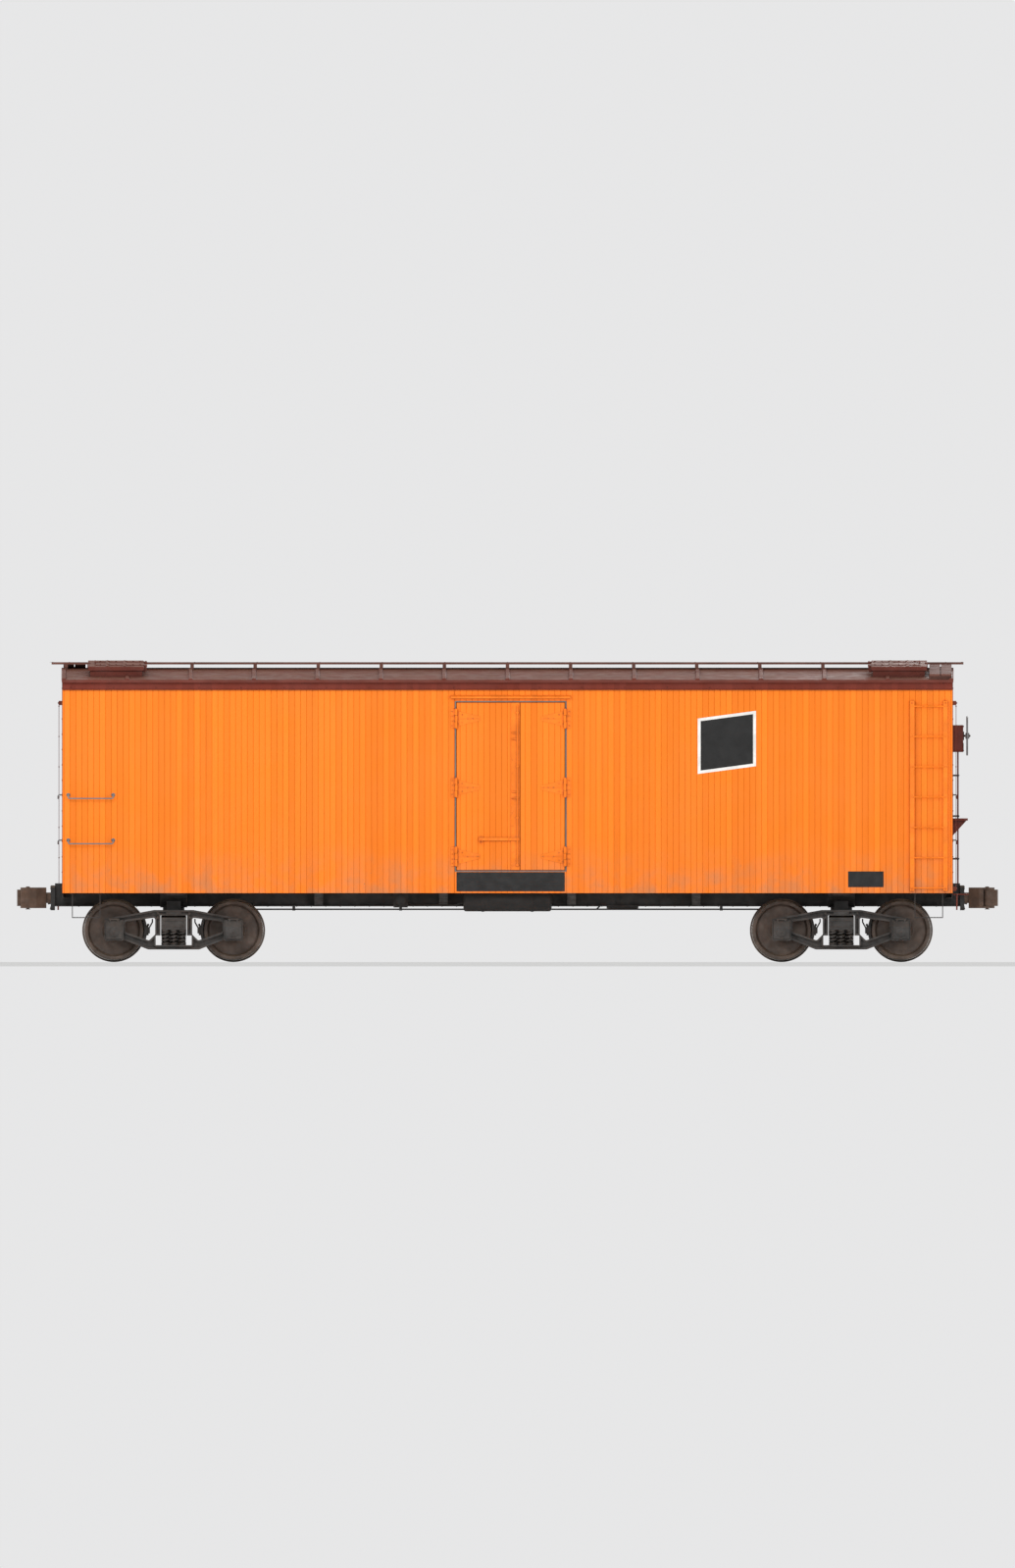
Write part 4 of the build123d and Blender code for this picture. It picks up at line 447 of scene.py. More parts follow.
def bare_wood(name, colour, stretch, rough=0.75):
    n = Nodes(name)
    grain = n.noise(1.0, 7.0, stretch)
    base = n.mix(n.ramp(grain, 0.3, 0.7), tuple(c * 0.6 for c in colour), tuple(min(1, c * 1.2) for c in colour))
    base = n.mix(n.math("MULTIPLY", n.ramp(n.noise(1.6, 4.0), 0.4, 0.7), 0.4), base, tuple(c * 0.5 for c in colour))
    # Painted shade: the wood colour darkened in crevices and corners.
    base = n.mix(n.math("MULTIPLY", n.painted_crevice_shade(0.05), 0.5), base, tuple(c * 0.2 for c in colour))
    n.bump(grain, 0.35, 0.0015)
    return n.finish(base, n.ramp(n.noise(7.0, 3.0), 0.3, 0.7, rough - 0.1, rough + 0.1))


def bright_steel(name):
    """Steel polished by the rail."""
    n = Nodes(name)
    base = n.mix(n.ramp(n.noise(10.0, 5.0), 0.35, 0.7), (0.42, 0.41, 0.39), (0.60, 0.59, 0.57))
    n.bump(n.noise(1.0, 4.0, (40, 400, 40)), 0.12, 0.0006)
    return n.finish(base, n.ramp(n.noise(6.0, 4.0), 0.3, 0.7, 0.24, 0.42), 1.0)


orange_boards = painted_boards("orange_boards", ORANGE)
brown_boards = painted_boards("red_brown_boards", RED_BROWN, "Y", 0.6, 0.6)
fascia_paint = painted_boards("fascia_paint", (0.165, 0.021, 0.008), "X", 0.0, 0.55)
orange_steel = painted_steel("orange_steel", ORANGE, 0.12, 0.55)
brown_steel = painted_steel("red_brown_steel", RED_BROWN, 0.25, 0.4)
ladder_paint = painted_steel("ladder_paint", ORANGE, 0.12, 0.55, beyond_end=RED_BROWN)
roof_paint = painted_steel("roof_paint", (0.135, 0.026, 0.015), 0.22, 0.35, 0.6, 0.6)
black_paint = painted_steel("underframe_black", (0.030, 0.029, 0.028), 0.4, 0.4, 0.55)
plate_black = painted_steel("threshold_black", (0.010, 0.010, 0.010), 0.2, 0.35, 0.4)
sign_black = painted_steel("sign_black", (0.008, 0.008, 0.008), 0.0, 0.0, 0.42)
sign_white = painted_steel("sign_white", (0.80, 0.79, 0.76), 0.0, 0.1, 0.45)
grey_steel = painted_steel("grey_steel", (0.20, 0.20, 0.20), 0.1, 0.35, 0.42)
gasket_grey = painted_steel("gasket_grey", (0.19, 0.185, 0.18), 0.0, 0.0, 0.8)
truck_black = casting("truck_castings", (0.030, 0.028, 0.026))
coupler_brown = casting("coupler_steel", (0.105, 0.058, 0.036), 0.3, 0.66)
wheel_brown = casting("wheel_steel", (0.085, 0.058, 0.043), 0.3, 0.6)
spring_black = casting("spring_steel", (0.040, 0.037, 0.035), 0.3, 0.5)
tread_bright = bright_steel("tread_bright")
plank_wood = bare_wood("running_board_wood", (0.155, 0.060, 0.042), (2.5, 60, 60), 0.8)
deck_wood = bare_wood("floor_boards", (0.40, 0.28, 0.17), (60, 2.5, 60))

SLOT_LOOKS = {
    "orange_sheathing": orange_boards,
    "orange_steel": orange_steel,
    "red_brown_sheathing": brown_boards,
    "red_brown_steel": brown_steel,
    "roof_paint": roof_paint,
    "roof_steel": roof_paint,
    "running_board_wood": plank_wood,
    "floor_boards": deck_wood,
    "underframe_black": black_paint,
    "threshold_black": plate_black,
    "grey_steel": grey_steel,
    "coupler_steel": coupler_brown,
    "truck_castings": truck_black,
    "spring_steel": spring_black,
    "wheel_steel": wheel_brown,
}
NODE_LOOKS = {"fascia_boards": fascia_paint, "ladders": ladder_paint}
for part in frame["record"]["subparts"]:
    look = NODE_LOOKS.get(part["node"], SLOT_LOOKS[part["material_slot"]])
    for material_slot in frame["nodes"][part["node"]].material_slots:
        material_slot.material = look


# ------------------------------------------------------------------ sheathing
BOARD_T = 0.005  # how far the boards stand out from the wall behind them
GROOVE = 0.0045
door_low, door_high = box_of("right_wide_door")
narrow_high = box_of("right_narrow_door")[1]
DOOR_GAP = 0.008
FRAME_STRIP = 0.016  # width of the sealing strip round the doorway
SEAL_T = 0.009


def boards(shape, start, end, low, high, place, pitch=BOARD, cut=None):
    """Upright boards from start to end along local X, facing local -Y, with a V groove between them."""
    first = math.floor(start / pitch)
    last = math.ceil(end / pitch)
    for k in range(first, last):
        x0, x1 = max(start, k * pitch), min(end, (k + 1) * pitch)
        if x1 - x0 < 0.006:
            continue
        spans = [(low, high)]
        if cut and x1 > cut[0] and x0 < cut[1]:
            if x0 < cut[0] or x1 > cut[1]:
                split = cut[0] if x0 < cut[0] else cut[1]
                outside = (x0, split) if x0 < cut[0] else (split, x1)
                board(shape, outside[0], outside[1], low, high, place)
                x0, x1 = (split, x1) if x0 < cut[0] else (x0, split)
            spans = [(low, cut[2]), (cut[3], high)]
        for z0, z1 in spans:
            board(shape, x0, x1, z0, z1, place)


def board(shape, x0, x1, z0, z1, place):
    if x1 - x0 < 0.003 or z1 - z0 < 0.003:
        return
    g = min(GROOVE, (x1 - x0) * 0.3)
    outline = [(x0, 0.0), (x0, -0.0006), (x0 + g, -BOARD_T), (x1 - g, -BOARD_T), (x1, -0.0006), (x1, 0.0)]
    upright = place @ Matrix.Translation((0, 0, z0))
    shape.prism(outline[::-1], z1 - z0, upright)


side_place = Matrix.Translation((0, -HALF_W, 0))
DOORWAY = (
    door_low.x - DOOR_GAP - FRAME_STRIP,
    narrow_high.x + DOOR_GAP + FRAME_STRIP,
    door_low.z - DOOR_GAP - FRAME_STRIP,
    door_high.z + DOOR_GAP + FRAME_STRIP,
)
for side, turn in SIDES:
    place = turn @ side_place
    sheathing = Shape()
    boards(sheathing, -HALF_L, HALF_L, SIDE_BOTTOM, WALL_TOP, place, cut=DOORWAY)
    sheathing.make(f"{side}_side_boards", BODY, orange_boards, "orange_sheathing")
    for leaf_name in ("wide", "narrow"):
        low, high = box_of(f"right_{leaf_name}_door")
        cover = Shape()
        boards(cover, low.x + 0.001, high.x - 0.001, low.z + 0.001, high.z - 0.001, place)
        cover.make(f"{side}_{leaf_name}_door_boards", f"{side}_{leaf_name}_door", orange_boards, "orange_sheathing")
    strip = Shape()
    x0, x1, z0, z1 = DOORWAY
    u0, u1 = x0 + FRAME_STRIP, x1 - FRAME_STRIP
    for a, b, low, high in ((x0, u0, z0, z1), (u1, x1, z0, z1), (u0, u1, z1 - FRAME_STRIP, z1),
                            (u0, u1, z0, z0 + FRAME_STRIP)):
        strip.box((a, -SEAL_T, low), (b, 0.0, high), 0.003, place)
    strip.make(f"{side}_door_seal", BODY, gasket_grey, "grey_steel")

end_place = Matrix.Translation((HALF_L, 0, 0)) @ Matrix.Rotation(math.pi / 2, 4, "Z")
ANGLE_W, ANGLE_T = 0.062, 0.006  # the steel angle up each corner
for end, turn in ENDS:
    place = turn @ end_place
    sheathing = Shape()
    boards(sheathing, end_low.y, -end_low.y, end_low.z, end_high.z, place)
    boards(sheathing, -HALF_W + 0.001, end_low.y, SIDE_BOTTOM, end_high.z, place)
    boards(sheathing, -end_low.y, HALF_W - 0.001, SIDE_BOTTOM, end_high.z, place)
    sheathing.make(f"{end}_end_boards", BODY, brown_boards, "red_brown_sheathing")
    corners = Shape()
    for sign in (-1, 1):
        y = sorted((sign * HALF_W, sign * (HALF_W - ANGLE_W)))
        corners.box((HALF_L, y[0], SIDE_BOTTOM), (HALF_L + ANGLE_T, y[1], EAVE_Z - 0.02), 0.002, turn)
        for z in spread(SIDE_BOTTOM + 0.08, EAVE_Z - 0.12, 14):
            rivet(corners, (HALF_L + ANGLE_T, sign * (HALF_W - ANGLE_W / 2), z), AHEAD, 0.010, turn)
    corners.make(f"{end}_end_corner_angles", BODY, brown_steel, "red_brown_steel")

# ------------------------------------------------------------------ door hardware
FACE_Y = -HALF_W - BOARD_T
hood_low, hood_high = box_of("door_hoods")
butt_low = box_of("door_hinge_butts")[0]
PIN_X = (door_low.x - DOOR_GAP / 2, narrow_high.x + DOOR_GAP / 2)
PIN_HALF = 0.132
HINGE_PITCH = 0.968
HINGE_Z = [butt_low.z + PIN_HALF + k * HINGE_PITCH for k in range(3)]
BUTT_BOLTS = ((0.032, -0.035), (0.032, 0.035), (0.060, -0.100), (0.060, -0.035), (0.060, 0.035), (0.060, 0.100))
STRAP_BOLTS = ((0.030, -0.075), (0.030, 0.075), (0.085, -0.055), (0.085, 0.055), (0.160, 0.0), (0.235, 0.0),
               (0.305, 0.0))
STRAP_RIB = ((0.055, -0.006), (0.055, 0.006), (0.325, 0.004), (0.325, -0.004))
BUTT_FACE = -HALF_W - 0.012
STRAP_FACE = -HALF_W - 0.010
BATTEN_FACE = -HALF_W - 0.018
BATTEN_W = 0.119
PLATE_FACE = -HALF_W - 0.008
LATCH_FACE = BATTEN_FACE - 0.014

for side, turn in SIDES:
    fixed = Shape()
    for pin, away in ((PIN_X[0], -1), (PIN_X[1], 1)):
        for z in HINGE_Z:
            for dx, dz in BUTT_BOLTS:
                bolt(fixed, (pin + away * dx, BUTT_FACE, z + dz), OUT, 0.0085, turn)
            for way in (-1, 1):
                at = turn @ facing((pin, -HALF_W - 0.034, z + way * PIN_HALF), (0, 0, way))
                fixed.turned_profile([(0, -0.001), (0.013, -0.001), (0.013, 0.005), (0.008, 0.009), (0, 0.010)], at, 16)
    fixed.make(f"{side}_hinge_butt_bolts", BODY, orange_steel, "orange_steel")
    for leaf_name, pin, toward in (("wide", PIN_X[0], 1), ("narrow", PIN_X[1], -1)):
        moving = Shape()
        for z in HINGE_Z:
            for dx, dz in STRAP_BOLTS:
                bolt(moving, (pin + toward * dx, STRAP_FACE, z + dz), OUT, 0.0085, turn)
            ring = [(pin + toward * x, z + dz) for x, dz in STRAP_RIB]
            place = turn @ Matrix.Translation((0, STRAP_FACE + 0.001, 0)) @ Matrix.Rotation(math.pi / 2, 4, "X")
            if toward < 0:
                ring = ring[::-1]
            moving.prism(ring, 0.005, place)
        moving.make(f"{side}_{leaf_name}_strap_bolts", f"{side}_{leaf_name}_door", orange_steel, "orange_steel")

    edge = door_high.x
    latch = Shape()
    middle = door_low.z + 0.432
    batten_x = edge - BATTEN_W / 2
    for z in spread(door_low.z + 0.06, door_high.z - 0.06, 13):
        if abs(z - middle) > 0.05:
            for dx in (-0.040, 0.040):
                rivet(latch, (batten_x + dx, BATTEN_FACE, z), OUT, 0.0085, turn)
    for z in [middle + dz + dip for dz in (0.62, 1.45) for dip in (-0.05, 0.038)]:
        latch.box((edge - 0.112, BATTEN_FACE - 0.022, z), (edge - 0.008, BATTEN_FACE + 0.001, z + 0.012), 0.003, turn)
    rod_x = edge - 0.030
    rod = [(rod_x, BATTEN_FACE - 0.012, z) for z in (middle - 0.38, door_high.z - 0.03)]
    latch.tube(rod, 0.0095, 12, False, turn)
    for z in (middle - 0.36, middle + 0.30, middle + 1.02, door_high.z - 0.14):
        low, high = (rod_x - 0.022, BATTEN_FACE - 0.020, z - 0.012), (rod_x + 0.022, BATTEN_FACE + 0.001, z + 0.012)
        latch.box(low, high, 0.004, turn)
        for dx in (-0.017, 0.017):
            rivet(latch, (rod_x + dx, BATTEN_FACE - 0.020, z), OUT, 0.004, turn)
    for dx in (0.03, 0.16, 0.30, 0.44, 0.54):
        rivet(latch, (edge - dx, LATCH_FACE, middle), OUT, 0.0085, turn)
    for dz in (-0.032, 0.032):
        bolt(latch, (edge - 0.571 + 0.030, BATTEN_FACE, middle + dz), OUT, 0.0075, turn)
    ring = [(edge - 0.545 + 0.024 * math.sin(a), LATCH_FACE - 0.006, middle - 0.040 - 0.024 * math.cos(a))
            for a in [2 * math.pi * k / 20 for k in range(20)]]
    latch.tube(ring, 0.0045, 8, True, turn)
    latch.make(f"{side}_latch_details", f"{side}_wide_door", orange_steel, "orange_steel")

    trim = Shape()
    for x in spread(hood_low.x + 0.05, hood_high.x - 0.05, 15):
        rivet(trim, (x, -HALF_W - 0.055, hood_low.z + 0.012), OUT, 0.006, turn)
    trim.make(f"{side}_hood_rivets", BODY, orange_steel, "orange_steel")

    plate = Shape()
    low_x, high_x = door_low.x + 0.03, narrow_high.x - 0.03
    for x in spread(low_x, high_x, 11):
        for z in (threshold_low.z + 0.022, threshold_high.z - 0.022):
            bolt(plate, (x, PLATE_FACE, z), OUT, 0.009, turn)
    for dz in (0.075, 0.135, 0.195):
        z = threshold_low.z + dz
        low, high = (low_x - 0.01, PLATE_FACE - 0.0025, z - 0.004), (high_x + 0.01, PLATE_FACE + 0.0005, z + 0.004)
        plate.box(low, high, 0.001, turn)
    plate.make(f"{side}_threshold_bolts", BODY, plate_black, "threshold_black")

# ------------------------------------------------------------------ marks, all blank
MARK_OUT = 0.0012


def panel(shape, x0, x1, z0, z1, turn, depth=MARK_OUT, start=0.0):
    shape.box((x0, FACE_Y - start - depth, z0), (x1, FACE_Y - start, z1), 0.0, turn)


def leaning_panel(shape, x0, x1, z0, z1, turn, depth=MARK_OUT, start=0.0):
    """A panel whose top and bottom rise towards +X."""
    rise = LEAN * (x1 - x0)
    place = turn @ Matrix.Translation((0, FACE_Y - start, 0)) @ Matrix.Rotation(math.pi / 2, 4, "X")
    shape.prism([(x0, z0), (x1, z0 + rise), (x1, z1 + rise), (x0, z1)], depth, place)


LEAN = 0.133  # rise of the large sign's edges for each metre along the car
for side, turn in SIDES:
    black, white = Shape(), Shape()
    leaning_panel(white, 2.670, 3.489, RAIL_Z + 2.615, RAIL_Z + 3.393, turn)
    leaning_panel(black, 2.712, 3.447, RAIL_Z + 2.663, RAIL_Z + 3.357, turn, MARK_OUT, MARK_OUT)
    panel(black, 4.782, 5.280, RAIL_Z + 1.025, RAIL_Z + 1.247, turn)
    white.make(f"{side}_blank_sign_border", BODY, sign_white, "grey_steel")
    black.make(f"{side}_blank_signs", BODY, sign_black, "threshold_black")

# ------------------------------------------------------------------ fascia, roof seams and hatches
slope = math.atan2(RIDGE_Z - EAVE_Z, EAVE_Y)
WALK_EDGE = 0.245  # the seams stop under the running board
SEAMS = 15
SEAM = [(-0.034, -0.002), (0.034, -0.002), (0.022, 0.020), (-0.022, 0.020)]
SWAP_YZ = Matrix(((1, 0, 0, 0), (0, 0, 1, 0), (0, 1, 0, 0), (0, 0, 0, 1)))
hatch_low, hatch_high = box_of("hatch_cover_b_right")
for side, turn in SIDES:
    trim = Shape()
    fascia_y = -HALF_W - 0.026
    mid_z = (fascia_low.z + fascia_high.z) / 2
    for k, x in enumerate(spread(-HALF_L + 0.12, HALF_L - 0.12, 42)):
        bolt(trim, (x, fascia_y, mid_z + (0.03 if k % 2 else -0.03)), OUT, 0.008, turn)
    trim.box((-HALF_L, fascia_y - 0.006, fascia_low.z - 0.004), (HALF_L, -HALF_W, fascia_low.z + 0.010), 0.003, turn)
    trim.make(f"{side}_fascia_trim", BODY, fascia_paint, "red_brown_sheathing")

    roof = Shape()
    length = (EAVE_Y - WALK_EDGE) / math.cos(slope)
    for x in spread(-HALF_L + 0.02, HALF_L - 0.02, SEAMS):
        place = turn @ Matrix.Translation((x, -EAVE_Y, EAVE_Z)) @ Matrix.Rotation(slope, 4, "X")
        flat = place @ SWAP_YZ
        past_hatch = hatch_low.x - 0.09 < abs(x) < hatch_high.x + 0.02
        for s0, s1 in [(0.0, 0.33), (1.15, length)] if past_hatch else [(0.0, length)]:
            roof.prism(SEAM, s1 - s0, flat @ Matrix.Translation((0, 0, s0)))
            for y in spread(s0 + 0.05, s1 - 0.05, max(2, int((s1 - s0) / 0.14))):
                for dx in (-0.028, 0.028):
                    rivet(roof, (dx, y, 0.006), UP, 0.006, place)
    low, high = (-HALF_L - 0.010, -EAVE_Y - 0.004, EAVE_Z - 0.040), (HALF_L + 0.010, -EAVE_Y + 0.004, EAVE_Z - 0.001)
    roof.box(low, high, 0.002, turn)
    roof.make(f"{side}_roof_seams", BODY, roof_paint, "roof_paint")

joints = {joint["name"]: joint for joint in frame["joints"]}
top = 0.006  # the cover's upper face, its far edge and half its length, from its hinge
reach = 0.417 * 2 - 0.024
half_w = 0.388
frame_reach = reach - 0.028
for end in ("a", "b"):
    for side in ("right", "left"):
        name = f"hatch_cover_{end}_{side}"
        sx = 1 if end == "b" else -1
        sy = -1 if side == "right" else 1
        # the cover's own frame: X away from the hinge, Z out of the roof
        hinge = Vector(joints[f"{name}_lift"]["pos_m"])
        tilt = Matrix.Rotation(-sy * slope, 4, "X")
        place = Matrix.Translation(hinge) @ tilt @ Matrix.Scale(sx, 4, AHEAD)
        lid = Shape()
        for x0, x1 in ((0.036, 0.046), (reach - 0.010, reach + 0.002)):
            lid.box((x0, -half_w - 0.003, top - 0.052), (x1, half_w + 0.003, top + 0.002), 0.002, place)
        for y in (-half_w, half_w):
            lid.box((0.036, y - 0.005, top - 0.052), (reach, y + 0.005, top + 0.002), 0.002, place)
        for x in (0.30, 0.54):
            lid.box((x - 0.020, -half_w + 0.02, top - 0.001), (x + 0.020, half_w - 0.02, top + 0.007), 0.002, place)
        for y in (-0.210, 0.210):
            for x in (0.08, 0.18, 0.28, 0.42, 0.52, 0.64):
                bolt(lid, (x, y, top + 0.008), UP, 0.010, place)
        for y in (-0.34, -0.1, 0.1, 0.34):
            for x in (0.30, 0.54):
                rivet(lid, (x, y, top + 0.007), UP, 0.008, place)
        handle = [(reach - 0.10, y, top + dz) for y, dz in ((-0.07, 0), (-0.07, 0.035), (0.07, 0.035), (0.07, 0))]
        lid.tube(handle, 0.008, 10, False, place)
        lid.box((reach - 0.03, -0.028, top - 0.06), (reach + 0.012, 0.028, top + 0.010), 0.003, place)
        bolt(lid, (reach - 0.012, 0, top + 0.010), UP, 0.011, place)
        lid.make(f"{name}_details", name, roof_paint, "roof_steel")
        base = Shape()
        for x in (0.052 + 0.012, frame_reach + 0.012):
            base.box((x - 0.006, -0.372, -0.150), (x + 0.006, 0.372, -0.138), 0.002, place)
        for k in range(5):
            rivet(base, (frame_reach + 0.001, -0.3 + k * 0.15, -0.10), AHEAD, 0.008, place)
            for way in (-1, 1):
                rivet(base, (0.12 + k * 0.15, way * 0.3605, -0.10), (0, way, 0), 0.008, place)
        base.make(f"{name}_frame_rivets", BODY, roof_paint, "roof_steel")

# ------------------------------------------------------------------ ladders, grab irons and steps
ladder_low, ladder_high = box_of("ladders")
STILE_OUT = 0.053  # the stile's face, from the wall
STILE_HALF = 0.0305
LADDER_W = 0.528
LADDER_BACK = 0.070  # the side ladder's edge, from the end of the car
RUNG_PITCH = 0.4253
GRAB_X, GRAB_W = -(HALF_L - 0.082), 0.631
STEP_IN, STEP_W = 0.134, 0.400
foot_z = SIDE_BOTTOM - 0.012


def ladder_heads(shape, stiles, face, place):
    """The bolts at the ends of both stiles and a pair of rivets for each rung."""
    for x in stiles:
        for z in (ladder_low.z + 0.030, ladder_high.z - 0.030):
            bolt(shape, (x, face, z), OUT, 0.012, place)
        for k in range(7):
            for dx in (-0.019, 0.019):
                rivet(shape, (x + dx, face, ladder_low.z + 0.041 + k * RUNG_PITCH), OUT, 0.007, place)


for side, turn in SIDES:
    irons = Shape()
    x1 = HALF_L - LADDER_BACK
    ladder_heads(irons, (x1 - STILE_HALF, x1 - LADDER_W + STILE_HALF), -HALF_W - STILE_OUT, turn)
    irons.make(f"{side}_ladder_bolts", BODY, orange_steel, "orange_steel")
    ends = Shape()
    middle = HALF_W - 0.060 - LADDER_W / 2
    place = turn @ Matrix.Translation((HALF_L, -middle, 0)) @ Matrix.Rotation(math.pi / 2, 4, "Z")
    ladder_heads(ends, (LADDER_W / 2 - STILE_HALF, -LADDER_W / 2 + STILE_HALF), -STILE_OUT, place)
    ends.make(f"{side}_end_ladder_bolts", BODY, brown_steel, "red_brown_steel")
    feet = Shape()
    for height in (2.271, 1.635):
        z = RAIL_Z + height + 0.050
        for x in (GRAB_X, GRAB_X + GRAB_W):
            for dx in (-0.016, 0.016):
                bolt(feet, (x + dx, PLATE_FACE, z), OUT, 0.0055, turn)
    feet.make(f"{side}_grab_iron_bolts", BODY, grey_steel, "grey_steel")
    step = Shape()
    for x0 in (HALF_L - STEP_IN - STEP_W, -(HALF_L - STEP_IN)):
        for x in (x0, x0 + STEP_W - 0.012):
            high = (x + 0.032, -HALF_W + 0.100, SIDE_BOTTOM - 0.001)
            step.box((x - 0.020, -HALF_W + 0.040, foot_z), high, 0.002, turn)
            for dy in (0.052, 0.088):
                bolt(step, (x + 0.006, -HALF_W + dy, foot_z), DOWN, 0.007, turn)
        for k in range(9):
            rivet(step, (x0 + 0.035 + k * 0.041, -HALF_W + 0.071, SIDE_BOTTOM - 0.338), UP, 0.006, turn)
    step.make(f"{side}_step_bolts", BODY, black_paint, "underframe_black")

# ------------------------------------------------------------------ trucks
def coil(shape, x, y, z0, z1, radius, bar, turns, place=None):
    """A coil spring with flattened ends."""
    steps = turns * 18
    path = []
    for k in range(steps + 1):
        t = k / steps
        flat = min(1.0, max(0.0, (t * turns - 0.7) / (turns - 1.4)))
        a = 2 * math.pi * turns * t
        path.append((x + radius * math.cos(a), y + radius * math.sin(a), z0 + bar + (z1 - z0 - 2 * bar) * flat))
    shape.tube(path, bar, 8, False, place)


TRUCK_X = sum(corner.x for corner in box_of("truck_b_bolster")) / 2
spring_low, spring_high = box_of("truck_b_springs")
frames_low, frames_high = box_of("truck_b_side_frames")
AXLE_OUT = sum(corner.x for corner in WHEEL[4]) / 2 - TRUCK_X
FRAME_FACE = 1.037
BOLSTER_FACE = 1.048
BEAM_X = 0.838 - 0.465 - 0.024  # axle, axle to brake head, half the beam
LID_FACE = frames_high.y
SPRINGS = ((-0.122, -1.013), (0, -1.013), (0.122, -1.013), (-0.061, -0.917), (0.061, -0.917))
SEAT = [(0, 0), (0.0535, 0), (0.0535, 0.006), (0.030, 0.008), (0, 0.008)]
LID_PAD = [(0, -0.002), (0.070, -0.002), (0.070, 0.004), (0.058, 0.009), (0.018, 0.011), (0.014, 0.018), (0, 0.018)]
for end, centre in (("a", -TRUCK_X), ("b", TRUCK_X)):
    truck = f"truck_{end}"
    base = Matrix.Translation((centre, 0, 0))
    springs = Shape()
    castings = Shape()
    for turn in (base, base @ HALF_TURN):
        for x, y in SPRINGS:
            for radius, bar, turns in ((0.0425, 0.0108, 5), (0.022, 0.0062, 8)):
                coil(springs, x, y, spring_low.z + 0.006, spring_high.z - 0.006, radius, bar, turns, turn)
            springs.turned_profile(SEAT, turn @ Matrix.Translation((x, y, spring_low.z)), 20)
            springs.turned_profile(SEAT, turn @ Matrix.Translation((x, y, spring_high.z)) @ MIRROR_Z, 20)
        for ax in (-AXLE_OUT, AXLE_OUT):
            # the lid of the journal box: raised pad, hinge, spring and pull
            castings.turned_profile(LID_PAD, turn @ facing((ax, -LID_FACE, AXLE_Z - 0.030), OUT), 24)
            hinge = [(ax + dx, -1.090, AXLE_Z + 0.150) for dx in (-0.075, 0.075)]
            castings.tube(hinge, 0.014, 12, False, turn)
            for dx in (-0.055, 0.055):
                x = ax + dx
                castings.box((x - 0.012, -1.108, AXLE_Z + 0.095), (x + 0.012, -1.072, AXLE_Z + 0.150), 0.005, turn)
                bolt(castings, (ax + dx * 1.65, -1.075, AXLE_Z - 0.138), DOWN, 0.011, turn)
            low, high = (ax - 0.026, -LID_FACE - 0.012, AXLE_Z - 0.124), (ax + 0.026, -LID_FACE + 0.004, AXLE_Z - 0.106)
            castings.box(low, high, 0.004, turn)
            for side_x in (-1, 1):
                for z in (AXLE_Z - 0.085, AXLE_Z + 0.070):
                    rivet(castings, (ax + side_x * 0.134, -0.98, z), (side_x, 0, 0), 0.014, turn)
        # column bolts, a blank cast pad and the rim rivets of the side frame
        for side_x in (-1, 1):
            for z in (frames_high.z - 0.050, frames_high.z - 0.105):
                bolt(castings, (side_x * 0.222, -FRAME_FACE, z), OUT, 0.013, turn)
            bolt(castings, (side_x * 0.150, -FRAME_FACE, frames_low.z + 0.024), OUT, 0.012, turn)
        rim = frames_high.z - 0.020
        castings.box((-0.110, -FRAME_FACE - 0.004, rim - 0.042), (0.110, -FRAME_FACE + 0.002, rim), 0.003, turn)
        # end of the bolster: two raised ribs and four bolts
        for z in (0.486, 0.575):
            castings.box((-0.150, -BOLSTER_FACE - 0.010, z), (0.150, -BOLSTER_FACE, z + 0.014), 0.003, turn)
        for dx in (-0.135, 0.135):
            for z in (0.520, 0.560):
                bolt(castings, (dx, -1.051, z), OUT, 0.010, turn)
        # brake beam: hanger rods and head pins
        for side_x in (-1, 1):
            beam_x, top_x = side_x * BEAM_X, side_x * (BEAM_X - 0.05)
            for y in (-0.760, 0.760):
                hanger = [(beam_x, y, 0.470), (top_x, y, 0.560), (top_x, y + 0.06, 0.600)]
                castings.tube(hanger, 0.010, 8, False, turn)
                bolt(castings, (beam_x + side_x * 0.010, y, 0.522), (0, math.copysign(1, y), 0), 0.012, turn)
    springs.make(f"{truck}_coil_springs", truck, spring_black, "spring_steel")
    castings.make(f"{truck}_casting_details", truck, truck_black, "truck_castings")
for truck in ("truck_a", "truck_b"):
    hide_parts(f"{truck}_springs")

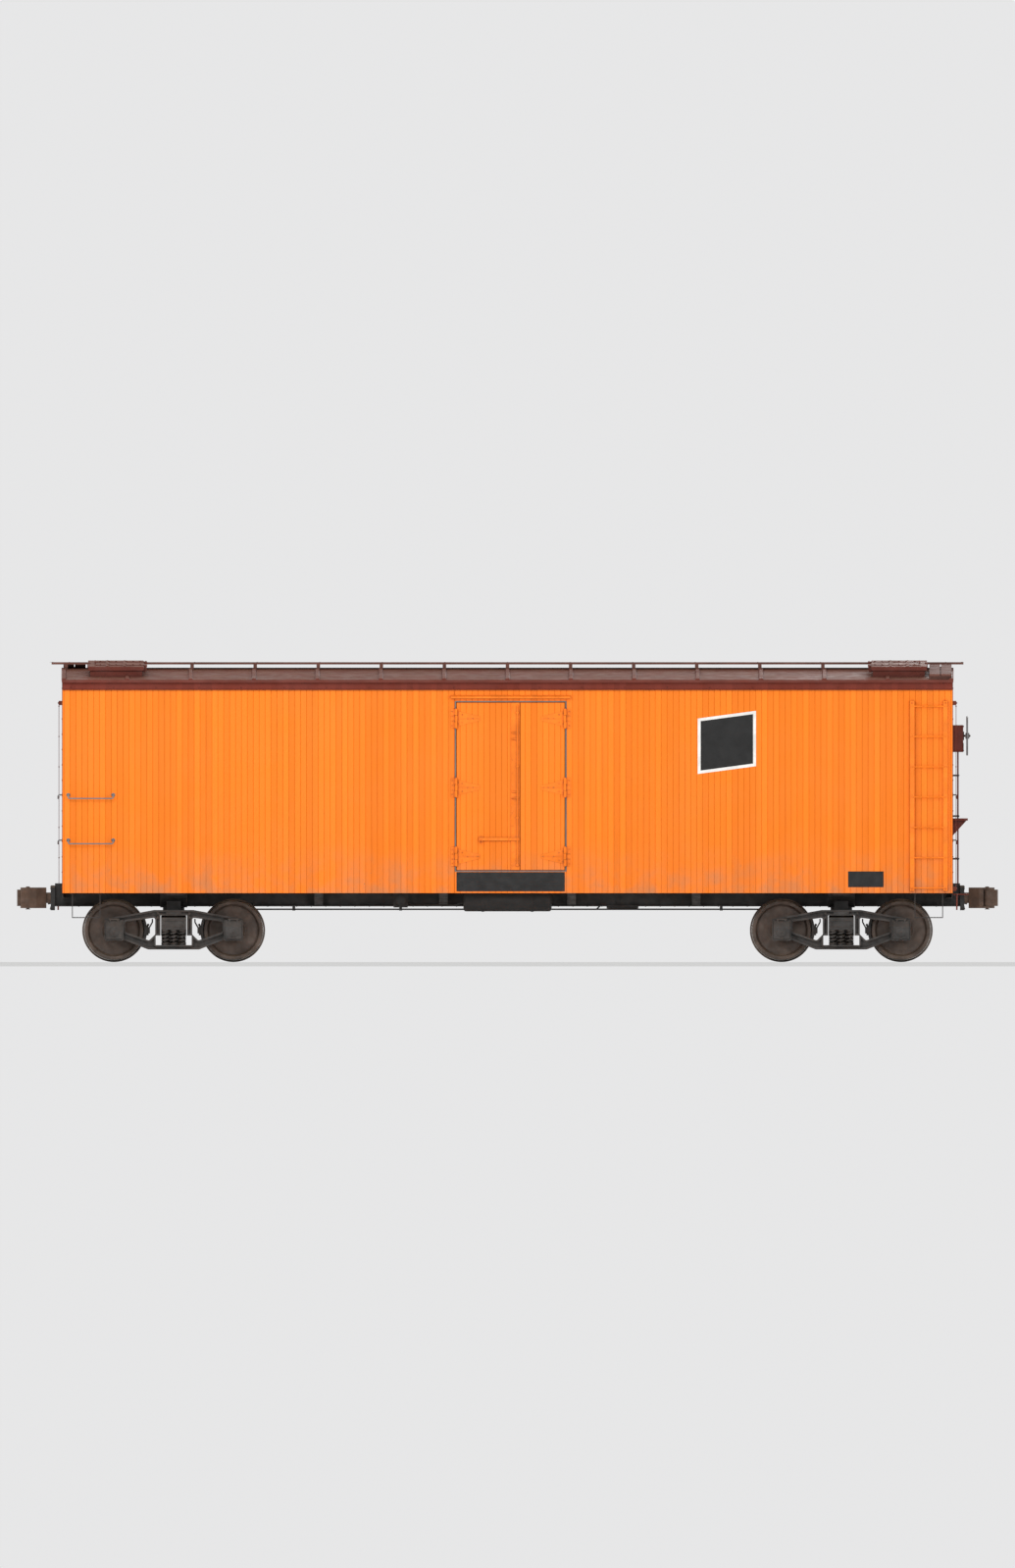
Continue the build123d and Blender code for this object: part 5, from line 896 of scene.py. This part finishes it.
# ------------------------------------------------------------------ wheels
WHEEL_BACK = 0.673  # the inner face of a wheel, from the middle of the axle
BAND = ((0.4225, 0.0335), (0.4160, 0.134), (0.4120, 0.1375), (0.4110, 0.134), (0.4180, 0.0335))
RIM = ((0.4060, -0.001), (0.4060, 0.0012), (0.3990, 0.0020), (0.3740, 0.0020), (0.3680, -0.001))
for number, (low, high) in WHEEL.items():
    middle = (low + high) / 2
    tread, cast = Shape(), Shape()
    for side_y in (-1, 1):
        place = Matrix.Translation((middle.x, 0, middle.z)) @ facing((0, 0, 0), (0, side_y, 0))
        tread.ring([(r + 0.0008, WHEEL_BACK + z) for r, z in BAND], place, 96)
        face, hub = WHEEL_BACK + 0.145, WHEEL_BACK + 0.165
        cast.ring([(r, face + z) for r, z in RIM], place, 96)
        cast.ring([(0.132, hub - 0.002), (0.128, hub + 0.003), (0.094, hub + 0.003), (0.0905, hub - 0.002)], place, 48)
        for k in range(6):
            a = 2 * math.pi * k / 6 + 0.2
            at = place @ Matrix.Translation((0.112 * math.cos(a), 0.112 * math.sin(a), hub + 0.003))
            rivet(cast, (0, 0, 0), UP, 0.009, at)
        for k in range(8):
            a = 2 * math.pi * k / 8
            at = place @ Matrix.Rotation(a, 4, "Z") @ Matrix.Translation((0.386, 0, face + 0.002))
            cast.box((-0.010, -0.022, -0.001), (0.010, 0.022, 0.0025), 0.002, at)
    tread.make(f"wheelset_{number}_bright_treads", f"wheelset_{number}", tread_bright, "wheel_steel")
    cast.make(f"wheelset_{number}_cast_marks", f"wheelset_{number}", wheel_brown, "wheel_steel")

# ------------------------------------------------------------------ couplers, strikers and hand brake
STRIKER_FACE = 6.4135
for end, place in reversed(ENDS):
    head = Shape()
    pin = (6.7335, -0.112)
    cap = [(0, -0.004), (0.030, -0.004), (0.030, 0.006), (0.022, 0.012), (0, 0.014)]
    head.turned_profile(cap, place @ Matrix.Translation((pin[0], pin[1], COUPLER_Z + 0.145)), 20)
    head.tube([(pin[0] - 0.034, pin[1], 0.744), (pin[0] + 0.034, pin[1], 0.744)], 0.005, 8, False, place)
    for x in (6.20, 6.32):
        for y in (-0.045, 0.045):
            rivet(head, (x, y, COUPLER_Z + 0.075), UP, 0.010, place)
    for z in (COUPLER_Z - 0.040, COUPLER_Z, COUPLER_Z + 0.040):
        for y in (-0.068, 0.063):
            head.box((6.44, y, z - 0.006), (6.56, y + 0.005, z + 0.006), 0.002, place)
    head.make(f"coupler_{end}_details", f"coupler_{end}", coupler_brown, "coupler_steel")

    plate = Shape()
    for y in (-0.205, 0.205):
        for z in (0.770, 0.850, 0.950, 1.030):
            rivet(plate, (STRIKER_FACE, y, z), AHEAD, 0.012, place)
    for y in (-0.12, 0, 0.12):
        rivet(plate, (STRIKER_FACE, y, 1.055), AHEAD, 0.011, place)
        bolt(plate, (STRIKER_FACE, y, 0.748), AHEAD, 0.011, place)
    plate.make(f"striker_{end}_rivets", BODY, black_paint, "underframe_black")

wheel_low, wheel_high = box_of("hand_brake_wheel")
hub_y, hub_z = (wheel_low.y + wheel_high.y) / 2, (wheel_low.z + wheel_high.z) / 2
hub = Shape()
bolt(hub, (wheel_high.x + 0.001, hub_y, hub_z), AHEAD, 0.018)
washer = [(0.041, -0.001), (0.041, 0.003), (0.031, 0.004), (0.029, -0.001)]
hub.ring(washer, facing((wheel_high.x, hub_y, hub_z), AHEAD), 32)
for k in range(5):
    a = 2 * math.pi * (k + 0.5) / 5
    rivet(hub, (wheel_high.x, hub_y + 0.036 * math.cos(a), hub_z + 0.036 * math.sin(a)), AHEAD, 0.005)
hub.make("hand_brake_hub_nut", "hand_brake_wheel", black_paint, "underframe_black")
case = Shape()
case_x = 6.3985
for dy in (-0.105, 0.105):
    for z in (hub_z - 0.208, hub_z + 0.132):
        bolt(case, (case_x, hub_y + dy, z), AHEAD, 0.010)
case.box((case_x - 0.001, hub_y - 0.085, hub_z - 0.20), (case_x + 0.006, hub_y + 0.085, hub_z - 0.10), 0.004)
boss = [(0.062, -0.001), (0.062, 0.008), (0.050, 0.012), (0.028, 0.012), (0.018, -0.001)]
case.ring(boss, facing((case_x, hub_y, hub_z), AHEAD), 36)
for z in (1.45, 2.05, 2.62):
    case.box((6.2485, hub_y - 0.045, z - 0.012), (6.3400, hub_y + 0.045, z + 0.012), 0.003)
    for dy in (-0.034, 0.034):
        bolt(case, (6.3400, hub_y + dy, z), AHEAD, 0.006)
case.make("hand_brake_case_details", BODY, black_paint, "underframe_black")

# ------------------------------------------------------------------ underframe, tanks and pipes
frame_rivets = Shape()
for turn in (Matrix(), HALF_TURN):
    for x in spread(-6.02, 6.02, 60):
        rivet(frame_rivets, (x, -0.232, 0.781), DOWN, 0.009, turn)
        rivet(frame_rivets, (x, -0.167, 0.84), OUT, 0.008, turn)
    for x in spread(-6.0, 6.0, 54):
        rivet(frame_rivets, (x, -1.2640, 0.968), DOWN, 0.004, turn)
    for k in range(9):
        for way in (-1, 1):
            for z in (0.925, 1.075):
                rivet(frame_rivets, (HALF_L, way * (0.28 + k * 0.12), z), AHEAD, 0.009, turn)
    for x in (-2.65, -0.9, 0.9, 2.65):
        for k in range(7):
            y = -0.34 - k * 0.13
            z = 0.795 + (0.986 - 0.795) * (abs(y) - 0.254) / (1.19 - 0.254)
            for dx in (-0.042, 0.042):
                rivet(frame_rivets, (x + dx, y, z), DOWN, 0.008, turn)
frame_rivets.make("underframe_rivets", BODY, black_paint, "underframe_black")

brakes = Shape()
TANK_Y, TANK_Z, TANK_R = -0.680, 0.876, 0.165
CYL_Y, CYL_Z = 0.640, 0.876
strap = [(TANK_R + out, x) for out, x in ((0.0005, -0.022), (0.006, -0.020), (0.006, 0.020), (0.0005, 0.022))]
for x in (-0.3456, 0.3456):
    brakes.ring(strap, facing((x, TANK_Y, TANK_Z), AHEAD), 48)
for x, way in ((1.4, -1), (1.83, 1)):
    for k in range(8):
        a = 2 * math.pi * k / 8 + 0.2
        bolt(brakes, (x, CYL_Y + 0.118 * math.cos(a), CYL_Z + 0.118 * math.sin(a)), (way, 0, 0), 0.009)
pipe = [(-1.5, -0.12, 0.80), (-1.5, -0.30, 0.80), (-1.3, -0.30, 0.80), (-0.75, -0.55, 0.80), (-0.60, -0.62, 0.84)]
brakes.tube(pipe, 0.011, 10)
pipe = [(-1.42, 0.12, 0.84), (-1.42, 0.45, 0.84), (-1.0, 0.55, 0.84), (0.9, 0.55, 0.84), (1.405, 0.60, 0.86)]
brakes.tube(pipe, 0.011, 10)
brakes.tube([(-1.55, 0.10, 0.90), (-1.55, 0.22, 0.93), (-1.55, 0.318, 0.926)], 0.012, 10)
for x in (-1.0, 0.0, 0.9):
    brakes.box((x - 0.014, 0.532, 0.835), (x + 0.014, 0.568, 0.856), 0.004)
    brakes.tube([(x, 0.55, 0.85), (x, 0.55, 1.106)], 0.006, 8)
brakes.make("brake_piping", BODY, black_paint, "underframe_black")

cocks = Shape()
for sign in (-1, 1):
    x, y, z = sign * 6.3935, 0.330, 0.889
    cocks.box((x - 0.010, y - 0.016, z - 0.004), (x + 0.010, y + 0.112, z + 0.006), 0.003)
    cap = [(0, -0.002), (0.017, -0.002), (0.017, 0.010), (0.010, 0.014), (0, 0.014)]
    cocks.turned_profile(cap, Matrix.Translation((x, y, z)), 18)
    collar = [(0.0285, -0.010), (0.0330, -0.008), (0.0330, 0.008), (0.0285, 0.010)]
    cocks.ring(collar, facing((sign * 6.440, y, 0.841), (sign, 0, 0)), 24)
    nut = [(0.0285, -0.012), (0.0340, -0.010), (0.0340, 0.010), (0.0285, 0.012)]
    cocks.ring(nut, facing((sign * 6.350, y, 0.841), (sign, 0, 0)), 6)
cocks.make("angle_cock_handles", BODY, black_paint, "underframe_black")

# ------------------------------------------------------------------ running boards
walk = Shape()
board_top = box_of("running_boards")[1].z
PLANKS = (-0.162, 0.0, 0.162)
CAP_X = 6.3985
for x in spread(-6.15, 6.15, 15):
    for y in PLANKS:
        for dy in (-0.045, 0.045):
            rivet(walk, (x, y + dy, board_top), UP, 0.008)
for sign in (-1, 1):
    x = sign * CAP_X
    for y in PLANKS:
        for back, deep in ((0.030, 0.001), (0.003, 0.030)):
            walk.box((x - back, y - 0.070, board_top - deep), (x + 0.003, y + 0.070, board_top + 0.003), 0.001)
        for dy in (-0.05, 0.05):
            rivet(walk, (sign * 6.383, y + dy, board_top + 0.003), UP, 0.006)
walk.make("running_board_screws", BODY, grey_steel, "grey_steel")

# ------------------------------------------------------------------ camera, lights and floor
scene = bpy.context.scene
scene.view_settings.view_transform = "Standard"
FRAME_W = 14.25  # metres across the picture
PICTURE = (1035, 1599)
camera_data = bpy.data.cameras.new("camera")
camera_data.type = "ORTHO"
camera_data.ortho_scale = FRAME_W * PICTURE[1] / PICTURE[0]
camera = bpy.data.objects.new("camera", camera_data)
bpy.context.collection.objects.link(camera)
camera.location = (0.0, -40.0, 2.5)
camera.rotation_euler = (math.pi / 2, 0, 0)
scene.camera = camera

world = bpy.data.worlds.new("world")
world.use_nodes = True
background = world.node_tree.nodes["Background"]
background.inputs["Color"].default_value = (0.95, 0.95, 0.955, 1)
background.inputs["Strength"].default_value = 0.84
scene.world = world


def soft_light(name, location, target, size, power):
    data = bpy.data.lights.new(name, "AREA")
    data.shape = "RECTANGLE"
    data.size, data.size_y = size
    data.energy = power
    light = bpy.data.objects.new(name, data)
    light.location = location
    light.rotation_euler = (Vector(target) - Vector(location)).to_track_quat("-Z", "Y").to_euler()
    bpy.context.collection.objects.link(light)


soft_light("key", (-9, -15, 11), (0, 0, 1.8), (9, 6), 1050)
soft_light("fill", (12, -14, 6), (0, 0, 1.8), (8, 6), 430)
soft_light("back_key", (9, 15, 11), (0, 0, 1.8), (9, 6), 1000)
soft_light("back_fill", (-12, 14, 6), (0, 0, 1.8), (8, 6), 400)
soft_light("low_front", (0, -13, 1.2), (0, 0, 1.0), (16, 1.6), 200)
soft_light("low_back", (0, 13, 1.2), (0, 0, 1.0), (16, 1.6), 180)

ground = Shape()
ground.box((-60, -26, -0.06), (60, 26, 0), 0.0)
ground_mesh = bpy.data.meshes.new("studio_floor")
ground_mesh.from_pydata([tuple(p) for p in ground.points], [], ground.faces)
floor_look = bpy.data.materials.new("studio_floor")
floor_look.use_nodes = True
floor_shader = floor_look.node_tree.nodes["Principled BSDF"]
floor_shader.inputs["Base Color"].default_value = (0.80, 0.80, 0.79, 1)
floor_shader.inputs["Roughness"].default_value = 0.9
ground_mesh.materials.append(floor_look)
studio_floor = bpy.data.objects.new("studio_floor", ground_mesh)
bpy.context.collection.objects.link(studio_floor)
